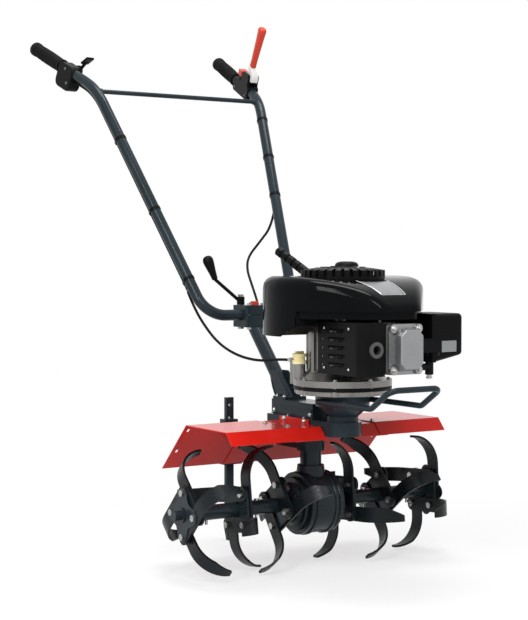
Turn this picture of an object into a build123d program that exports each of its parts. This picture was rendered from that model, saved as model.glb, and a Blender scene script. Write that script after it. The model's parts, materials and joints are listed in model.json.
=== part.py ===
from build123d import *
import math
import os

os.makedirs("parts", exist_ok=True)

# All in mm. The machine faces -Y, +X is the operator's left hand, Z = 0 is the ground under the tine axle.

# Fits
running_gap = 0.05
seat_gap = 0.02
slide_gap = 0.3
clear_gap = 0.5
cut_reach = 2000.0

# Tine rotor
rotor_diameter = 274.0
hub_inner_x = 86.0
hub_mid_x = 186.0
hub_outer_x = 310.0
shaft_radius = 12.5
shaft_end_radius = 10.0
shaft_end_length = 16.0
sleeve_wall = 3.2
sleeve_start_x = 68.0
sleeve_split_x = 214.0
plate_thickness = 6.0
plate_margin = 12.0
plate_corner_radius = 12.0
bolt_spacing = 64.0
blade_width = 32.0
blade_thickness = 5.0
blade_bend_start = 62.0
blade_sweep = 90.0
blade_sweep_short = 72.0
blade_tip_taper = 23.0
blade_taper_start = 0.4
tine_bolt_radius = 4.0
tine_bolt_hex = 7.5
tine_bolt_head = 5.5
clip_pin_radius = 3.0
clip_pin_over = 9.0
clip_pin_x = (140.0, 262.0)

# Gearbox on the rotor and the column over it
housing_radius = 66.0
housing_half_width = 41.0
housing_wall = 8.0
housing_round = 18.0
column_radius = 23.0
column_collar_radius = 29.0
column_collar_flare = 4.0
column_collar_height = 30.0
column_flange_radius = 36.0
column_flange_height = 9.0
bearing_cover_radius = 46.0
bearing_cover_depth = 17.0
bearing_radius = 26.0
bearing_width = 12.0
input_shaft_radius = 8.0
input_bearing_radius = 15.0
input_bearing_width = 11.0
pinion_ratio = 3.5
pinion_face_start = 32.0
pinion_face_length = 20.0
gear_backing = 11.0

# Drive case under the engine with the belt in it, and the adaptor on its lid
engine_y = -117.0
case_bottom = 292.0
case_height = 26.0
case_wall = 3.0
case_half_width = 42.0
case_nose_radius = 40.0
case_rear_y = 108.0
lid_thickness = 4.0
riser_half_width = 30.0
riser_front_y = -50.0
riser_height = 32.0
riser_rib = 2.5
neck_radius = 33.0
neck_height = 11.0
bell_height = 22.0
adaptor_radius = 57.0
adaptor_wall = 6.0
adaptor_height = 59.0
drive_pulley_radius = 26.0
driven_pulley_radius = 34.0
pulley_height = 16.0
pulley_rise = 5.0
groove_depth = 9.0
belt_height = 9.0
groove_clearance = 0.6

# Guard sheets over the tines
guard_half_width = 273.0
guard_centre_half = 120.0
guard_lap = 22.0
guard_front_y = -98.0
guard_rise = 21.0
guard_lip_run = 22.0
guard_lip_drop = 25.0
guard_bend_y = 64.0
guard_skirt_run = 104.0
guard_skirt_drop = 102.0
guard_sheet = 2.0
guard_tab_height = 13.0
guard_tab_length = 110.0
guard_slot_long = 11.0
guard_slot_wide = 6.0
guard_slot_inset = 12.0
guard_slot_shares = (0.12, 0.6)

# Drag stake behind, with its arm, socket and screw
stake_width = 20.0
stake_depth = 10.0
stake_length = 337.0
stake_point = 24.0
stake_y = 338.0
stake_hole_radius = 4.0
stake_hole_pitch = 30.0
stake_hole_count = 5
arm_half_width = 12.0
arm_height = 30.0
arm_drop = 12.0
arm_collar_wall = 7.0
socket_wall = 7.0
socket_over = 6.0
socket_height = 105.0
socket_foot = 4.0
screw_radius = 4.0
screw_reach = 30.0
screw_wing = 20.0

# Front bumper rod
bumper_radius = 6.0
bumper_half_width = 63.0
bumper_leg_drop = 15.0
bumper_rise = 40.0
bumper_knee_y = -300.0
bumper_front_y = -362.0
bumper_bend = 20.0

# Engine stack, from the adaptor upward
sump_flange_radius = 98.0
sump_neck_radius = 92.0
sump_flange_height = 9.0
sump_height = 18.0
crankcase_flange_radius = 103.0
crankcase_flange_height = 13.0
crankcase_skirt_radius = 88.0
crankcase_skirt_height = 22.0
crankcase_radius = 72.0
crankcase_height = 131.0
crankcase_wall = 11.0
crank_radius = 11.0
crank_over = 14.0
lug_count = 8
lug_radius = 9.0
post_ring = 76.0
post_radius = 5.0
flywheel_radius = 66.0
flywheel_height = 38.0
flywheel_gap = 18.0
flywheel_vanes = 12
flywheel_vane_gap = 15.0
oil_x = -80.0
oil_y = -74.0
oil_tube_radius = 13.0
oil_tube_length = 31.0
oil_cap_radius = 14.5
oil_cap_height = 21.0
oil_cap_groove = 2.5
throttle_stop_x = -74.0
throttle_stop_y = -39.0
throttle_stop_rise = 36.0
throttle_stop_half = 6.0

# Cylinder, head and valve cover
cylinder_rise = 84.0
barrel_half_width = 34.0
barrel_half_height = 38.0
fin_half_width = 43.0
fin_half_height = 48.0
fin_count = 6
fin_thickness = 3.5
head_back_y = -297.0
head_thickness = 23.0
head_half_width = 42.0
head_half_height = 50.0
head_round = 9.0
cover_half_width = 40.0
cover_lip = 7.0
cover_boss = 9.0
cover_boss_over = 5.0
cover_crown_half_width = 31.0
cover_crown_half_height = 43.0
cover_crown_corner = 14.0
cover_crown_depth = 25.0
cover_crown_taper = 9.0
cover_crown_round = 4.0
boot_radius = 8.5
boot_lead_radius = 7.0
boot_drop = 38.0
boot_reach = 34.0
boot_hang = 16.0

# Exhaust and intake
muffler_outer_x = -92.0
muffler_inner_x = -54.0
muffler_front_y = -315.0
muffler_back_y = -214.0
muffler_half_height = 46.0
muffler_round = 14.0
muffler_port_radius = 8.0
muffler_post_radius = 5.0
muffler_post_inset = 22.0
shield_gap = 4.0
shield_sheet = 2.5
shield_back_y = -168.0
shield_inner_x = -45.5
shield_corner = 26.0
louvre_count = 5
louvre_pitch = 17.0
louvre_length = 48.0
louvre_height = 5.0
louvre_hole_radius = 3.0
louvre_hole_inset = 14.0
outlet_radius = 16.0
outlet_lip = 4.0
outlet_tube_radius = 13.0
outlet_bore = 9.0
outlet_x = -68.0
carb_end_x = 97.0
carb_half_depth = 14.0
carb_half_height = 18.0
carb_bowl_radius = 12.0
carb_bowl_drop = 34.0
filter_plate = 10.0
filter_outer_x = 179.0
filter_front_y = -292.0
filter_back_y = -184.0
filter_below = 32.0
filter_above = 67.0
filter_round = 9.0
filter_slant = 14.0

# Cowl, tank, recoil starter and caps
cowl_radius = 167.0
cowl_lift = 26.0
cowl_rise = 70.0
cowl_wall = 3.0
cowl_nose_radius = 34.0
cowl_nose_half = 30.0
cowl_nose_reach = 2.0
cowl_shoulder_share = 0.33
skirt_inset = 8.0
skirt_height = 15.0
panel_rear_half = 42.0
panel_front_half = 33.0
panel_length = 77.0
panel_ahead = 6.0
panel_corner = 6.0
panel_depth = 1.2
panel_gap = 16.0
tank_drop = 26.0
tank_front_y = -172.0
tank_chin_run = 42.0
tank_chin_rise = 22.0
tank_gap = 30.0
recoil_radius = 88.0
recoil_pocket = 22.0
recoil_stand = 12.0
recoil_crown = 8.0
recoil_wall = 3.0
recoil_slots = 30
recoil_slot_width = 7.0
recoil_slot_start = 0.74
recoil_slot_drop = 13.0
recoil_drum_radius = 60.0
grip_foot_x = -60.0
grip_foot_y = -48.0
grip_foot_lift = 4.0
grip_run = (-14.0, 65.0, 37.0)
grip_ribs = 4
starter_grip_radius = 10.0
starter_boss_length = 32.0
starter_boss_radius = 10.0
starter_boss_spread = 14.0
rope_radius = 2.5
fuel_cap_x = 76.0
fuel_cap_y = -26.0
fuel_cap_radius = 26.0
fuel_cap_height = 28.0
fuel_cap_crown = 12.0
fuel_cap_plug = 14.0
fuel_cap_lift = 2.0
fuel_neck_radius = 20.0

# Handlebar
tube_radius = 12.5
tube_wall = 2.0
bar_half = 120.0
bar_y = 239.0
bar_z = 534.0
lower_spread = 109.0
lower_run = 327.0
lower_rise = 531.0
upper_spread = 37.0
upper_run = 256.0
upper_rise = 120.0
bar_bend = 60.0
top_bend = 150.0
crossbar_radius = 5.5
crossbar_behind = 3.0
crossbar_drop = 5.0
grip_length = 128.0
grip_radius = 15.5
grip_flange = 2.0
grip_flange_length = 5.0
grip_swell = 1.0
grip_end = 5.0

# Stem and handlebar clamp
stem_radius = 15.0
stem_wall = 2.5
stem_foot_y = 88.0
stem_top_ahead = 12.0
stem_plate = 6.0
stem_plate_inset = 2.0
gusset_sheet = 3.0
gusset_front = 30.0
gusset_rear = 52.0
gusset_height = 60.0
clamp_half_width = 28.0
clamp_front = 24.0
clamp_back = 38.0
clamp_below = 28.0
clamp_above = 22.0
clamp_split = 1.0
clamp_round = 6.0
clamp_bolt_radius = 3.0
clamp_bolt_x = 18.0
clamp_bolt_y = 19.0
clamp_bolt_head = 5.0
lever_x = -14.0
lever_back = 24.0
lever_pin = 4.0
lever_rod_radius = 4.0
lever_hub_radius = 9.0
lever_hub_height = 18.0
lever_elbow_run = (-56.0, 21.0, 52.0)
lever_knob_run = (-14.0, 12.0, 48.0)
knob_foot_radius = 7.0
knob_head_radius = 10.0
knob_round = 3.0

# Controls on the handlebar, measured along the upper tube
throttle_to_grip = 1.1
throttle_length = 66.0
throttle_half_width = 16.0
throttle_above = 17.0
throttle_below = 44.0
throttle_round = 16.0
throttle_edge = 4.0
throttle_pivot_in = 40.0
throttle_pivot_height = 6.0
throttle_pin = 4.0
throttle_pin_over = 8.0
thumb_hub_radius = 13.0
thumb_hub_width = 6.0
thumb_rod_radius = 4.0
thumb_back = 18.0
thumb_height = 32.0
thumb_length = 30.0
thumb_width = 22.0
thumb_thickness = 6.0
thumb_tilt = 45.0
thumb_round = 2.5
perch_from_bend = 1.65
perch_length = 94.0
perch_half_width = 15.0
perch_above = 17.0
perch_below = 18.0
perch_round = 8.0
clutch_pivot_in = 30.0
clutch_pivot_height = 36.0
clutch_lean = 100.0
clutch_reach = 142.0
clutch_root_radius = 11.0
clutch_tip_radius = 8.0
clutch_half_width = 9.0
clutch_round = 4.0
cam_radius = 30.0
cam_before = 8.0
cam_after = 92.0
cheek_in = 9.5
cheek_half_length = 22.0
cheek_over = 10.0
cheek_round = 9.0
clutch_pin = 4.0
button_inset = 18.0
button_pin = 4.0
button_boss = 3.0
button_travel = 4.0
button_half_length = 12.0
button_half_width = 10.0
button_height = 14.0
cable_radius = 3.0
clutch_stop_x = 20.0
clutch_stop_rise = 18.0
clutch_stop_length = 6.0
clutch_clip_places = (70.0, 185.0, 300.0)
throttle_clip_places = (150.0, 350.0, 540.0)
clip_length = 7.0
clip_wall = 1.2

# Heights and places that follow from the sizes above
axle_z = rotor_diameter / 2
case_top = case_bottom + case_height
lid_top = case_top + lid_thickness
riser_top = lid_top + riser_height
adaptor_top = lid_top + adaptor_height
pulley_z = case_bottom + pulley_rise
guard_top_z = case_bottom + guard_rise
arm_top = case_bottom - arm_drop
arm_bottom = arm_top - arm_height
socket_top = arm_top + socket_over
socket_bottom = socket_top - socket_height
bumper_leg_z = adaptor_top - bumper_leg_drop
crankcase_bottom = adaptor_top + sump_height
crankcase_flange_top = crankcase_bottom + crankcase_flange_height
crankcase_top = crankcase_bottom + crankcase_height
oil_tube_top = crankcase_flange_top + oil_tube_length
cylinder_z = crankcase_bottom + cylinder_rise
head_front_y = head_back_y - head_thickness
filter_bottom = cylinder_z - filter_below
filter_top = cylinder_z + filter_above
tank_bottom = crankcase_top - tank_drop
cowl_bottom = crankcase_top + cowl_lift
cowl_peak = cowl_bottom + cowl_rise
cowl_nose_y = engine_y - cowl_radius - cowl_nose_reach
cowl_shoulder = cowl_shoulder_share * cowl_rise
recoil_floor = cowl_peak - recoil_pocket
recoil_rim = cowl_peak + recoil_stand
recoil_top = recoil_rim + recoil_crown
flywheel_top = recoil_floor - flywheel_gap
flywheel_bottom = flywheel_top - flywheel_height
crank_top = flywheel_top + crank_over
clamp_bottom = bar_z - clamp_below
clamp_top = bar_z + clamp_above
throttle_cable_end = (throttle_stop_x, throttle_stop_y, crankcase_flange_top + throttle_stop_rise)
clutch_cable_end = (clutch_stop_x, case_rear_y + clutch_stop_length, case_top + clutch_stop_rise)

bend_half = bar_half + lower_spread
bend_y = bar_y + lower_run
bend_z = bar_z + lower_rise
end_half = bend_half + upper_spread
end_y = bend_y + upper_run
end_z = bend_z + upper_rise


def box(x0, x1, y0, y1, z0, z1):
    return Pos((x0 + x1) / 2, (y0 + y1) / 2, (z0 + z1) / 2) * Box(x1 - x0, y1 - y0, z1 - z0)


def rod_x(radius, x0, x1, y, z):
    return Pos((x0 + x1) / 2, y, z) * Rot(0, 90, 0) * Cylinder(radius, x1 - x0)


def rod_y(radius, y0, y1, x, z):
    return Pos(x, (y0 + y1) / 2, z) * Rot(90, 0, 0) * Cylinder(radius, y1 - y0)


def rod_z(radius, z0, z1, x=0.0, y=0.0):
    return Pos(x, y, (z0 + z1) / 2) * Cylinder(radius, z1 - z0)


def ring_z(outer, inner, z0, z1, x=0.0, y=0.0):
    return rod_z(outer, z0, z1, x, y) - rod_z(inner, z0 - 1, z1 + 1, x, y)


def rod_between(radius, start, end):
    start, end = Vector(*start), Vector(*end)
    return extrude(Plane(start, z_dir=end - start) * Circle(radius), (end - start).length)


def cone_between(start, end, start_radius, end_radius):
    start, end = Vector(*start), Vector(*end)
    along = Plane(start, z_dir=end - start)
    length = (end - start).length
    return along * Pos(0, 0, length / 2) * Cone(start_radius, end_radius, length)


def tube_along(path, radius):
    return sweep(Plane(path @ 0, z_dir=path % 0) * Circle(radius), path=path)


pieces = {}


def save(name, *solids):
    pieces[name] = solids


# Tine rotor: square hub plates on sleeves, four bent blades a plate, two on each face, sharing four bolts
half_bolt = bolt_spacing / 2
plate_half = half_bolt + plate_margin
sleeve_radius = shaft_radius + sleeve_wall
blade_reach = math.sqrt(axle_z**2 - (half_bolt + blade_width / 2) ** 2)
blade_offset_angle = math.degrees(math.atan2(half_bolt, blade_reach))
blade_root = half_bolt + blade_width / 2
face_offset = (plate_thickness + blade_thickness) / 2


def make_blade(sweep_angle):
    half = blade_thickness / 2
    turn = math.radians(sweep_angle)
    bend = (blade_reach - blade_bend_start) / math.sin(turn) - half
    centre = (blade_bend_start, bend)
    tip_out = (centre[0] + (bend + half) * math.sin(turn), bend - (bend + half) * math.cos(turn))
    tip_in = (centre[0] + (bend - half) * math.sin(turn), bend - (bend - half) * math.cos(turn))
    outline = [
        Line((-blade_root, -half), (blade_bend_start, -half)),
        CenterArc(centre, bend + half, -90, sweep_angle),
        Line(tip_out, tip_in),
        CenterArc(centre, bend - half, sweep_angle - 90, -sweep_angle),
        Line((blade_bend_start, half), (-blade_root, half)),
        Line((-blade_root, half), (-blade_root, -half)),
    ]
    strip = Pos(0, 0, -blade_width / 2) * extrude(make_face(outline), blade_width)
    strip = fillet(strip.edges().filter_by(Axis.Y).group_by(Axis.X)[0], blade_width * 0.45)
    taper_y = tip_in[1] * blade_taper_start
    wedge = Plane.YZ * make_face(
        Polyline(
            (taper_y, -blade_width / 2),
            (taper_y, -blade_width),
            (tip_in[1] + blade_thickness * 2, -blade_width),
            (tip_in[1] + blade_thickness * 2, blade_tip_taper - blade_width / 2),
            close=True,
        )
    )
    strip -= extrude(wedge, blade_reach * 2)
    for u in (-half_bolt, half_bolt):
        strip -= rod_y(tine_bolt_radius + slide_gap, -blade_thickness, blade_thickness, u, 0)
    return strip


def hub_plane(hub_x, tip_angle):
    a = math.radians(tip_angle + blade_offset_angle)
    return Plane(
        (hub_x, 0, axle_z),
        x_dir=(0, -math.cos(a), math.sin(a)),
        z_dir=(0, -math.sin(a), -math.cos(a)),
    )


def make_plate(hub_x, tip_angle):
    plate = Box(2 * plate_half, plate_thickness, 2 * plate_half)
    plate = fillet(plate.edges().filter_by(Axis.Y), plate_corner_radius)
    for u in (-half_bolt, half_bolt):
        for p in (-half_bolt, half_bolt):
            plate -= rod_y(tine_bolt_radius + slide_gap, -plate_thickness, plate_thickness, u, p)
    return hub_plane(hub_x, tip_angle) * plate


def make_bolt():
    grip = face_offset + blade_thickness / 2
    hexagon = Plane.XZ * RegularPolygon(tine_bolt_hex, 6)
    head = Pos(0, -grip, 0) * extrude(hexagon, tine_bolt_head)
    nut = Pos(0, grip + tine_bolt_head, 0) * extrude(hexagon, tine_bolt_head)
    return head + nut + rod_y(tine_bolt_radius, -grip, grip, 0, 0)


blade_long = make_blade(blade_sweep)
blade_short = make_blade(blade_sweep_short)
bolt = make_bolt()
# Each hub: side, place, angle of its upper tine, turn of the upright and of the level pair (+1 is toward +X)
hubs = [
    ("right_outer", -hub_outer_x, 121.5, 1, 1),
    ("right_mid", -hub_mid_x, 84.0, 1, -1),
    ("right_inner", -hub_inner_x, 112.0, -1, 1),
    ("left_inner", hub_inner_x, 80.0, -1, 1),
    ("left_mid", hub_mid_x, 115.0, -1, 1),
    ("left_outer", hub_outer_x, 80.0, -1, -1),
]
all_bolts = []
plates = {}
tines = {"outer": [], "mid": [], "inner": []}
for hub_name, hub_x, tip_angle, upright_turn, level_turn in hubs:
    for k in range(4):
        turn = upright_turn if k % 2 == 0 else level_turn
        face = 1 if k % 2 == 0 else -1
        if upright_turn != level_turn:
            face = turn
        inward_inner = abs(hub_x) == hub_inner_x and turn * hub_x < 0
        blade = blade_short if inward_inner else blade_long
        if turn > 0:
            blade = mirror(blade, about=Plane.XZ)
        placed = Pos(0, -face * face_offset, half_bolt) * blade
        tines[hub_name.split("_")[1]].append(hub_plane(hub_x, tip_angle + 90 * k) * placed)
    plates[hub_name] = make_plate(hub_x, tip_angle)
    for u in (-half_bolt, half_bolt):
        for p in (-half_bolt, half_bolt):
            all_bolts.append(hub_plane(hub_x, tip_angle) * Pos(u, 0, p) * bolt)
for place, blades in tines.items():
    save("tines_" + place, *blades)

pin_holes = [rod_z(clip_pin_radius + slide_gap, 0, rotor_diameter, s * x) for s in (-1, 1) for x in clip_pin_x]
sleeve_end_x = hub_outer_x + plate_thickness / 2 + blade_thickness + tine_bolt_head
shaft_end_x = sleeve_end_x + shaft_end_length
rotor_shaft = rod_x(shaft_radius, -sleeve_end_x, sleeve_end_x, 0, axle_z)
rotor_shaft += rod_x(shaft_end_radius, -shaft_end_x, shaft_end_x, 0, axle_z)
for hole in pin_holes:
    rotor_shaft -= hole
save("rotor_shaft", rotor_shaft)


def make_sleeve(x0, x1, hub_names):
    sleeve = rod_x(sleeve_radius, x0, x1, 0, axle_z)
    for name in hub_names:
        sleeve += plates[name]
    sleeve -= rod_x(shaft_radius + seat_gap, x0 - 1, x1 + 1, 0, axle_z)
    for hole in pin_holes:
        sleeve -= hole
    return sleeve


save(
    "tine_sleeves",
    make_sleeve(-sleeve_end_x, -sleeve_split_x, ["right_outer"]),
    make_sleeve(-sleeve_split_x, -sleeve_start_x, ["right_mid", "right_inner"]),
    make_sleeve(sleeve_start_x, sleeve_split_x, ["left_inner", "left_mid"]),
    make_sleeve(sleeve_split_x, sleeve_end_x, ["left_outer"]),
)

clip_pins = []
for s in (-1, 1):
    for x in clip_pin_x:
        pin_end = sleeve_radius + clip_pin_over
        pin = rod_z(clip_pin_radius, axle_z - pin_end, axle_z + sleeve_radius, s * x)
        sleeve_top = axle_z + sleeve_radius
        pin += rod_z(clip_pin_radius * 1.8, sleeve_top, sleeve_top + clip_pin_radius, s * x)
        clip_pins.append(pin)
save("rotor_fasteners", *all_bolts, *clip_pins)

# Gearbox: two halves that meet on the centre plane, bearing covers, bearings and the bevel pair
housing = rod_x(housing_radius, -housing_half_width, housing_half_width, 0, axle_z)
housing = fillet(housing.edges().filter_by(GeomType.CIRCLE), housing_round)
collar_z = axle_z + housing_radius
housing += rod_z(column_radius, axle_z + housing_radius / 2, case_bottom)
collar_foot = column_collar_radius + column_collar_flare
housing += Pos(0, 0, collar_z) * Cone(collar_foot, column_collar_radius, column_collar_height)
housing += rod_z(column_flange_radius, case_bottom - column_flange_height, case_bottom)
housing -= rod_x(housing_radius - housing_wall, housing_wall - housing_half_width,
                 housing_half_width - housing_wall, 0, axle_z)
housing -= rod_x(sleeve_radius, -cut_reach, cut_reach, 0, axle_z)
upper_bearing_z = case_bottom - input_bearing_width
lower_bearing_z = axle_z + housing_radius
housing -= rod_z(input_shaft_radius + sleeve_wall, axle_z, case_bottom + 1)
for z in (upper_bearing_z, lower_bearing_z):
    housing -= rod_z(input_bearing_radius, z, z + input_bearing_width)
gearbox_right = housing & box(-cut_reach, 0, -cut_reach, cut_reach, 0, cut_reach)
save("gearbox_halves", gearbox_right, mirror(gearbox_right, about=Plane.YZ))

cover = rod_x(bearing_cover_radius, 0, bearing_cover_depth, 0, axle_z)
cover = chamfer(cover.edges().filter_by(GeomType.CIRCLE).group_by(Axis.X)[-1], bearing_cover_depth / 3)
cover -= rod_x(bearing_radius, -1, bearing_width, 0, axle_z)
cover -= rod_x(sleeve_radius, 0, bearing_cover_depth + 1, 0, axle_z)
cover = Pos(housing_half_width, 0, 0) * cover
save("bearing_covers", cover, mirror(cover, about=Plane.YZ))
bearing = rod_x(bearing_radius - seat_gap, housing_half_width, housing_half_width + bearing_width, 0, axle_z)
bearing -= rod_x(shaft_radius + running_gap, 0, cut_reach, 0, axle_z)
bearings = [bearing, mirror(bearing, about=Plane.YZ)]
for z in (upper_bearing_z, lower_bearing_z):
    race = ring_z(input_bearing_radius - seat_gap, input_shaft_radius + running_gap, z, z + input_bearing_width)
    bearings.append(race)
save("bearings", *bearings)

pinion_slope = 1 / pinion_ratio
pinion_end = pinion_face_start + pinion_face_length
pinion = Pos(0, 0, axle_z + pinion_face_start + pinion_face_length / 2) * Cone(
    pinion_face_start * pinion_slope - clear_gap, pinion_end * pinion_slope - clear_gap, pinion_face_length)
wheel_outline = Polyline(
    (pinion_face_start * pinion_slope + clear_gap, pinion_face_start),
    (pinion_end * pinion_slope + clear_gap, pinion_end),
    (pinion_end * pinion_slope + gear_backing, pinion_end),
    (pinion_end * pinion_slope + gear_backing, shaft_radius + seat_gap),
    (pinion_face_start * pinion_slope + clear_gap, shaft_radius + seat_gap),
    close=True,
)
save("bevel_wheel", Pos(0, 0, axle_z) * revolve(make_face(wheel_outline), Axis.X))
shaft_top = pulley_z + pulley_height + clear_gap
save("input_shaft", pinion + rod_z(input_shaft_radius, axle_z + pinion_face_start, shaft_top))


# Belt drive in the case: grooved pulleys and an endless belt
def make_pulley(radius, bore, y):
    groove_half = belt_height / 2 + groove_clearance
    groove_z = pulley_z + pulley_height / 2
    pulley = rod_z(radius, pulley_z, pulley_z + pulley_height, 0, y)
    pulley -= ring_z(radius + 1, radius - groove_depth, groove_z - groove_half, groove_z + groove_half, 0, y)
    return pulley - rod_z(bore + seat_gap, pulley_z - 1, pulley_z + pulley_height + 1, 0, y)


def loop_face(front_radius, rear_radius):
    circles = Pos(0, engine_y) * Circle(front_radius) + Circle(rear_radius)
    return make_hull(circles.edges())


save("drive_pulley", make_pulley(drive_pulley_radius, crank_radius, engine_y))
save("driven_pulley", make_pulley(driven_pulley_radius, input_shaft_radius, 0))
belt_inner = groove_depth - groove_clearance
belt = extrude(loop_face(drive_pulley_radius - clear_gap, driven_pulley_radius - clear_gap), belt_height)
belt -= extrude(loop_face(drive_pulley_radius - belt_inner, driven_pulley_radius - belt_inner), belt_height)
save("drive_belt", Pos(0, 0, pulley_z + (pulley_height - belt_height) / 2) * belt)


# Drive case: a tray with a round nose, and over it the lid with the stem's riser and the engine's bell
def case_face(inset):
    nose = Pos(0, engine_y) * Circle(case_nose_radius - inset)
    body = Pos(0, case_rear_y / 2) * Rectangle(2 * (case_half_width - inset), case_rear_y - 2 * inset)
    return make_hull(nose.edges() + body.edges())


case = Pos(0, 0, case_bottom) * extrude(case_face(0), case_height)
case -= Pos(0, 0, case_bottom + case_wall) * extrude(case_face(case_wall), case_height)
case -= rod_z(input_shaft_radius + sleeve_wall, 0, case_top)
save("drive_case", case)

adaptor = Pos(0, 0, case_top) * extrude(case_face(0), lid_thickness)
adaptor += box(-riser_half_width, riser_half_width, riser_front_y, case_rear_y, case_top, riser_top)
rib_z = (lid_top + riser_top) / 2
rib_half = riser_half_width + riser_rib
rib_front, rib_back = riser_front_y + riser_rib, case_rear_y - riser_height
adaptor += box(-rib_half, rib_half, rib_front, rib_back, rib_z - riser_rib, rib_z + riser_rib)
adaptor -= box(-riser_half_width + case_wall, riser_half_width - case_wall, riser_front_y + case_wall,
               case_rear_y - case_wall, 0, riser_top - case_wall)
neck_top = lid_top + neck_height
bell_top = neck_top + bell_height
bell_outline = Polyline(
    (neck_radius, case_top),
    (neck_radius, neck_top),
    (adaptor_radius, bell_top),
    (adaptor_radius, adaptor_top),
    (adaptor_radius - adaptor_wall, adaptor_top),
    (adaptor_radius - adaptor_wall, bell_top),
    (neck_radius - adaptor_wall, neck_top),
    (neck_radius - adaptor_wall, case_top),
    close=True,
)
adaptor += Pos(0, engine_y, 0) * revolve(Plane.XZ * make_face(bell_outline), Axis.Z)
adaptor -= rod_z(neck_radius - adaptor_wall, 0, neck_top, 0, engine_y)
stop_x, stop_y, stop_z = clutch_cable_end
adaptor += rod_y(2 * cable_radius, case_rear_y - case_wall, stop_y, stop_x, stop_z)
save("engine_adaptor", adaptor)


# Guard: a centre sheet with the case notch and two wings lapped over its ends
def guard_profile(inset):
    skirt_slope = math.atan2(guard_skirt_drop, guard_skirt_run)
    lip_slope = math.atan2(guard_lip_drop, guard_lip_run)

    def line(depth):
        return [
            (guard_front_y - guard_lip_run + depth * math.sin(lip_slope),
             guard_top_z - guard_lip_drop - depth * math.cos(lip_slope)),
            (guard_front_y + depth * math.tan(lip_slope / 2), guard_top_z - depth),
            (guard_bend_y - depth * math.tan(skirt_slope / 2), guard_top_z - depth),
            (guard_bend_y + guard_skirt_run - depth * math.sin(skirt_slope),
             guard_top_z - guard_skirt_drop - depth * math.cos(skirt_slope)),
        ]

    return Plane.YZ * make_face(Polyline(*line(inset), *reversed(line(inset + guard_sheet)), close=True))


guard_centre = Pos(-guard_centre_half, 0, 0) * extrude(guard_profile(guard_sheet), 2 * guard_centre_half)
guard_centre -= box(-case_half_width, case_half_width, -cut_reach, case_rear_y, 0, cut_reach)
guard_centre -= box(-arm_half_width - 1, arm_half_width + 1, 0, stake_y, arm_bottom - 1, cut_reach)
tab_z = guard_top_z - 2 * guard_sheet
tab = box(case_half_width, case_half_width + guard_sheet, -guard_tab_length / 2, guard_tab_length / 2,
          tab_z, tab_z + guard_tab_height)
guard_centre += tab
guard_centre += mirror(tab, about=Plane.YZ)
save("guard_centre", guard_centre)

wing = extrude(guard_profile(0), guard_half_width - guard_centre_half + guard_lap)
wing = Pos(guard_centre_half - guard_lap, 0, 0) * wing
skirt_angle = math.degrees(math.atan2(guard_skirt_drop, guard_skirt_run))
for share in guard_slot_shares:
    slot = Pos(guard_half_width - guard_slot_inset, guard_bend_y + guard_skirt_run * share,
               guard_top_z - guard_skirt_drop * share)
    wing -= slot * Rot(-skirt_angle, 0, 0) * Box(guard_slot_wide, guard_slot_long, guard_sheet * 4)
save("guard_wings", wing, mirror(wing, about=Plane.YZ))

# Drag stake with its arm, socket and clamping screw
arm = box(-arm_half_width, arm_half_width, 0, stake_y, arm_bottom, arm_top)
arm += rod_z(column_radius + arm_collar_wall, arm_bottom, arm_top)
arm -= rod_z(column_radius + seat_gap, 0, cut_reach)
hole_half_x = stake_width / 2 + slide_gap
hole_half_y = stake_depth / 2 + slide_gap
arm += box(-hole_half_x - socket_wall, hole_half_x + socket_wall, stake_y - hole_half_y - socket_wall,
           stake_y + hole_half_y + socket_wall, socket_bottom, socket_top)
foot_over = 2 * socket_wall
arm += box(-hole_half_x - foot_over, hole_half_x + foot_over, stake_y - hole_half_y - foot_over,
           stake_y + hole_half_y + foot_over, socket_bottom, socket_bottom + socket_foot)
arm -= box(-hole_half_x, hole_half_x, stake_y - hole_half_y, stake_y + hole_half_y, 0, cut_reach)
screw_z = (socket_bottom + socket_top) / 2
screw_seat = stake_y + hole_half_y + socket_wall
arm -= rod_y(screw_radius + seat_gap, stake_y, screw_seat + 1, 0, screw_z)
save("stake_arm", arm)
half_width, half_depth = stake_width / 2, stake_depth / 2
stake = box(-half_width, half_width, stake_y - half_depth, stake_y + half_depth, 0, stake_length)
for s in (-1, 1):
    bevel = Polyline((s * half_width / 2, 0), (s * half_width, 0), (s * half_width, stake_point), close=True)
    stake -= Pos(0, stake_y, 0) * extrude(Plane.XZ * make_face(bevel), stake_depth, both=True)
for k in range(stake_hole_count):
    hole_z = stake_length - stake_hole_pitch * (k + 0.6)
    stake -= rod_y(stake_hole_radius, stake_y - stake_depth, stake_y + stake_depth, 0, hole_z)
save("drag_stake", stake)
screw = rod_y(screw_radius, stake_y + hole_half_y, screw_seat + screw_reach, 0, screw_z)
screw += rod_y(screw_radius * 2, screw_seat, screw_seat + screw_radius, 0, screw_z)
screw += Pos(0, screw_seat + screw_reach, screw_z) * Box(2 * screw_wing, screw_radius, screw_radius * 3)
save("stake_screw", screw)

# Front bumper: one bent rod, its two ends against the adaptor's rim
bumper_front_z = bumper_leg_z + bumper_rise
bumper_points = [
    (-bumper_half_width, engine_y, bumper_leg_z),
    (-bumper_half_width, bumper_knee_y, bumper_leg_z),
    (-bumper_half_width, bumper_front_y, bumper_front_z),
    (bumper_half_width, bumper_front_y, bumper_front_z),
    (bumper_half_width, bumper_knee_y, bumper_leg_z),
    (bumper_half_width, engine_y, bumper_leg_z),
]
bumper = tube_along(FilletPolyline(*bumper_points, radius=bumper_bend), bumper_radius)
bumper -= rod_z(adaptor_radius, 0, cut_reach, 0, engine_y)
save("front_bumper", bumper)

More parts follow.
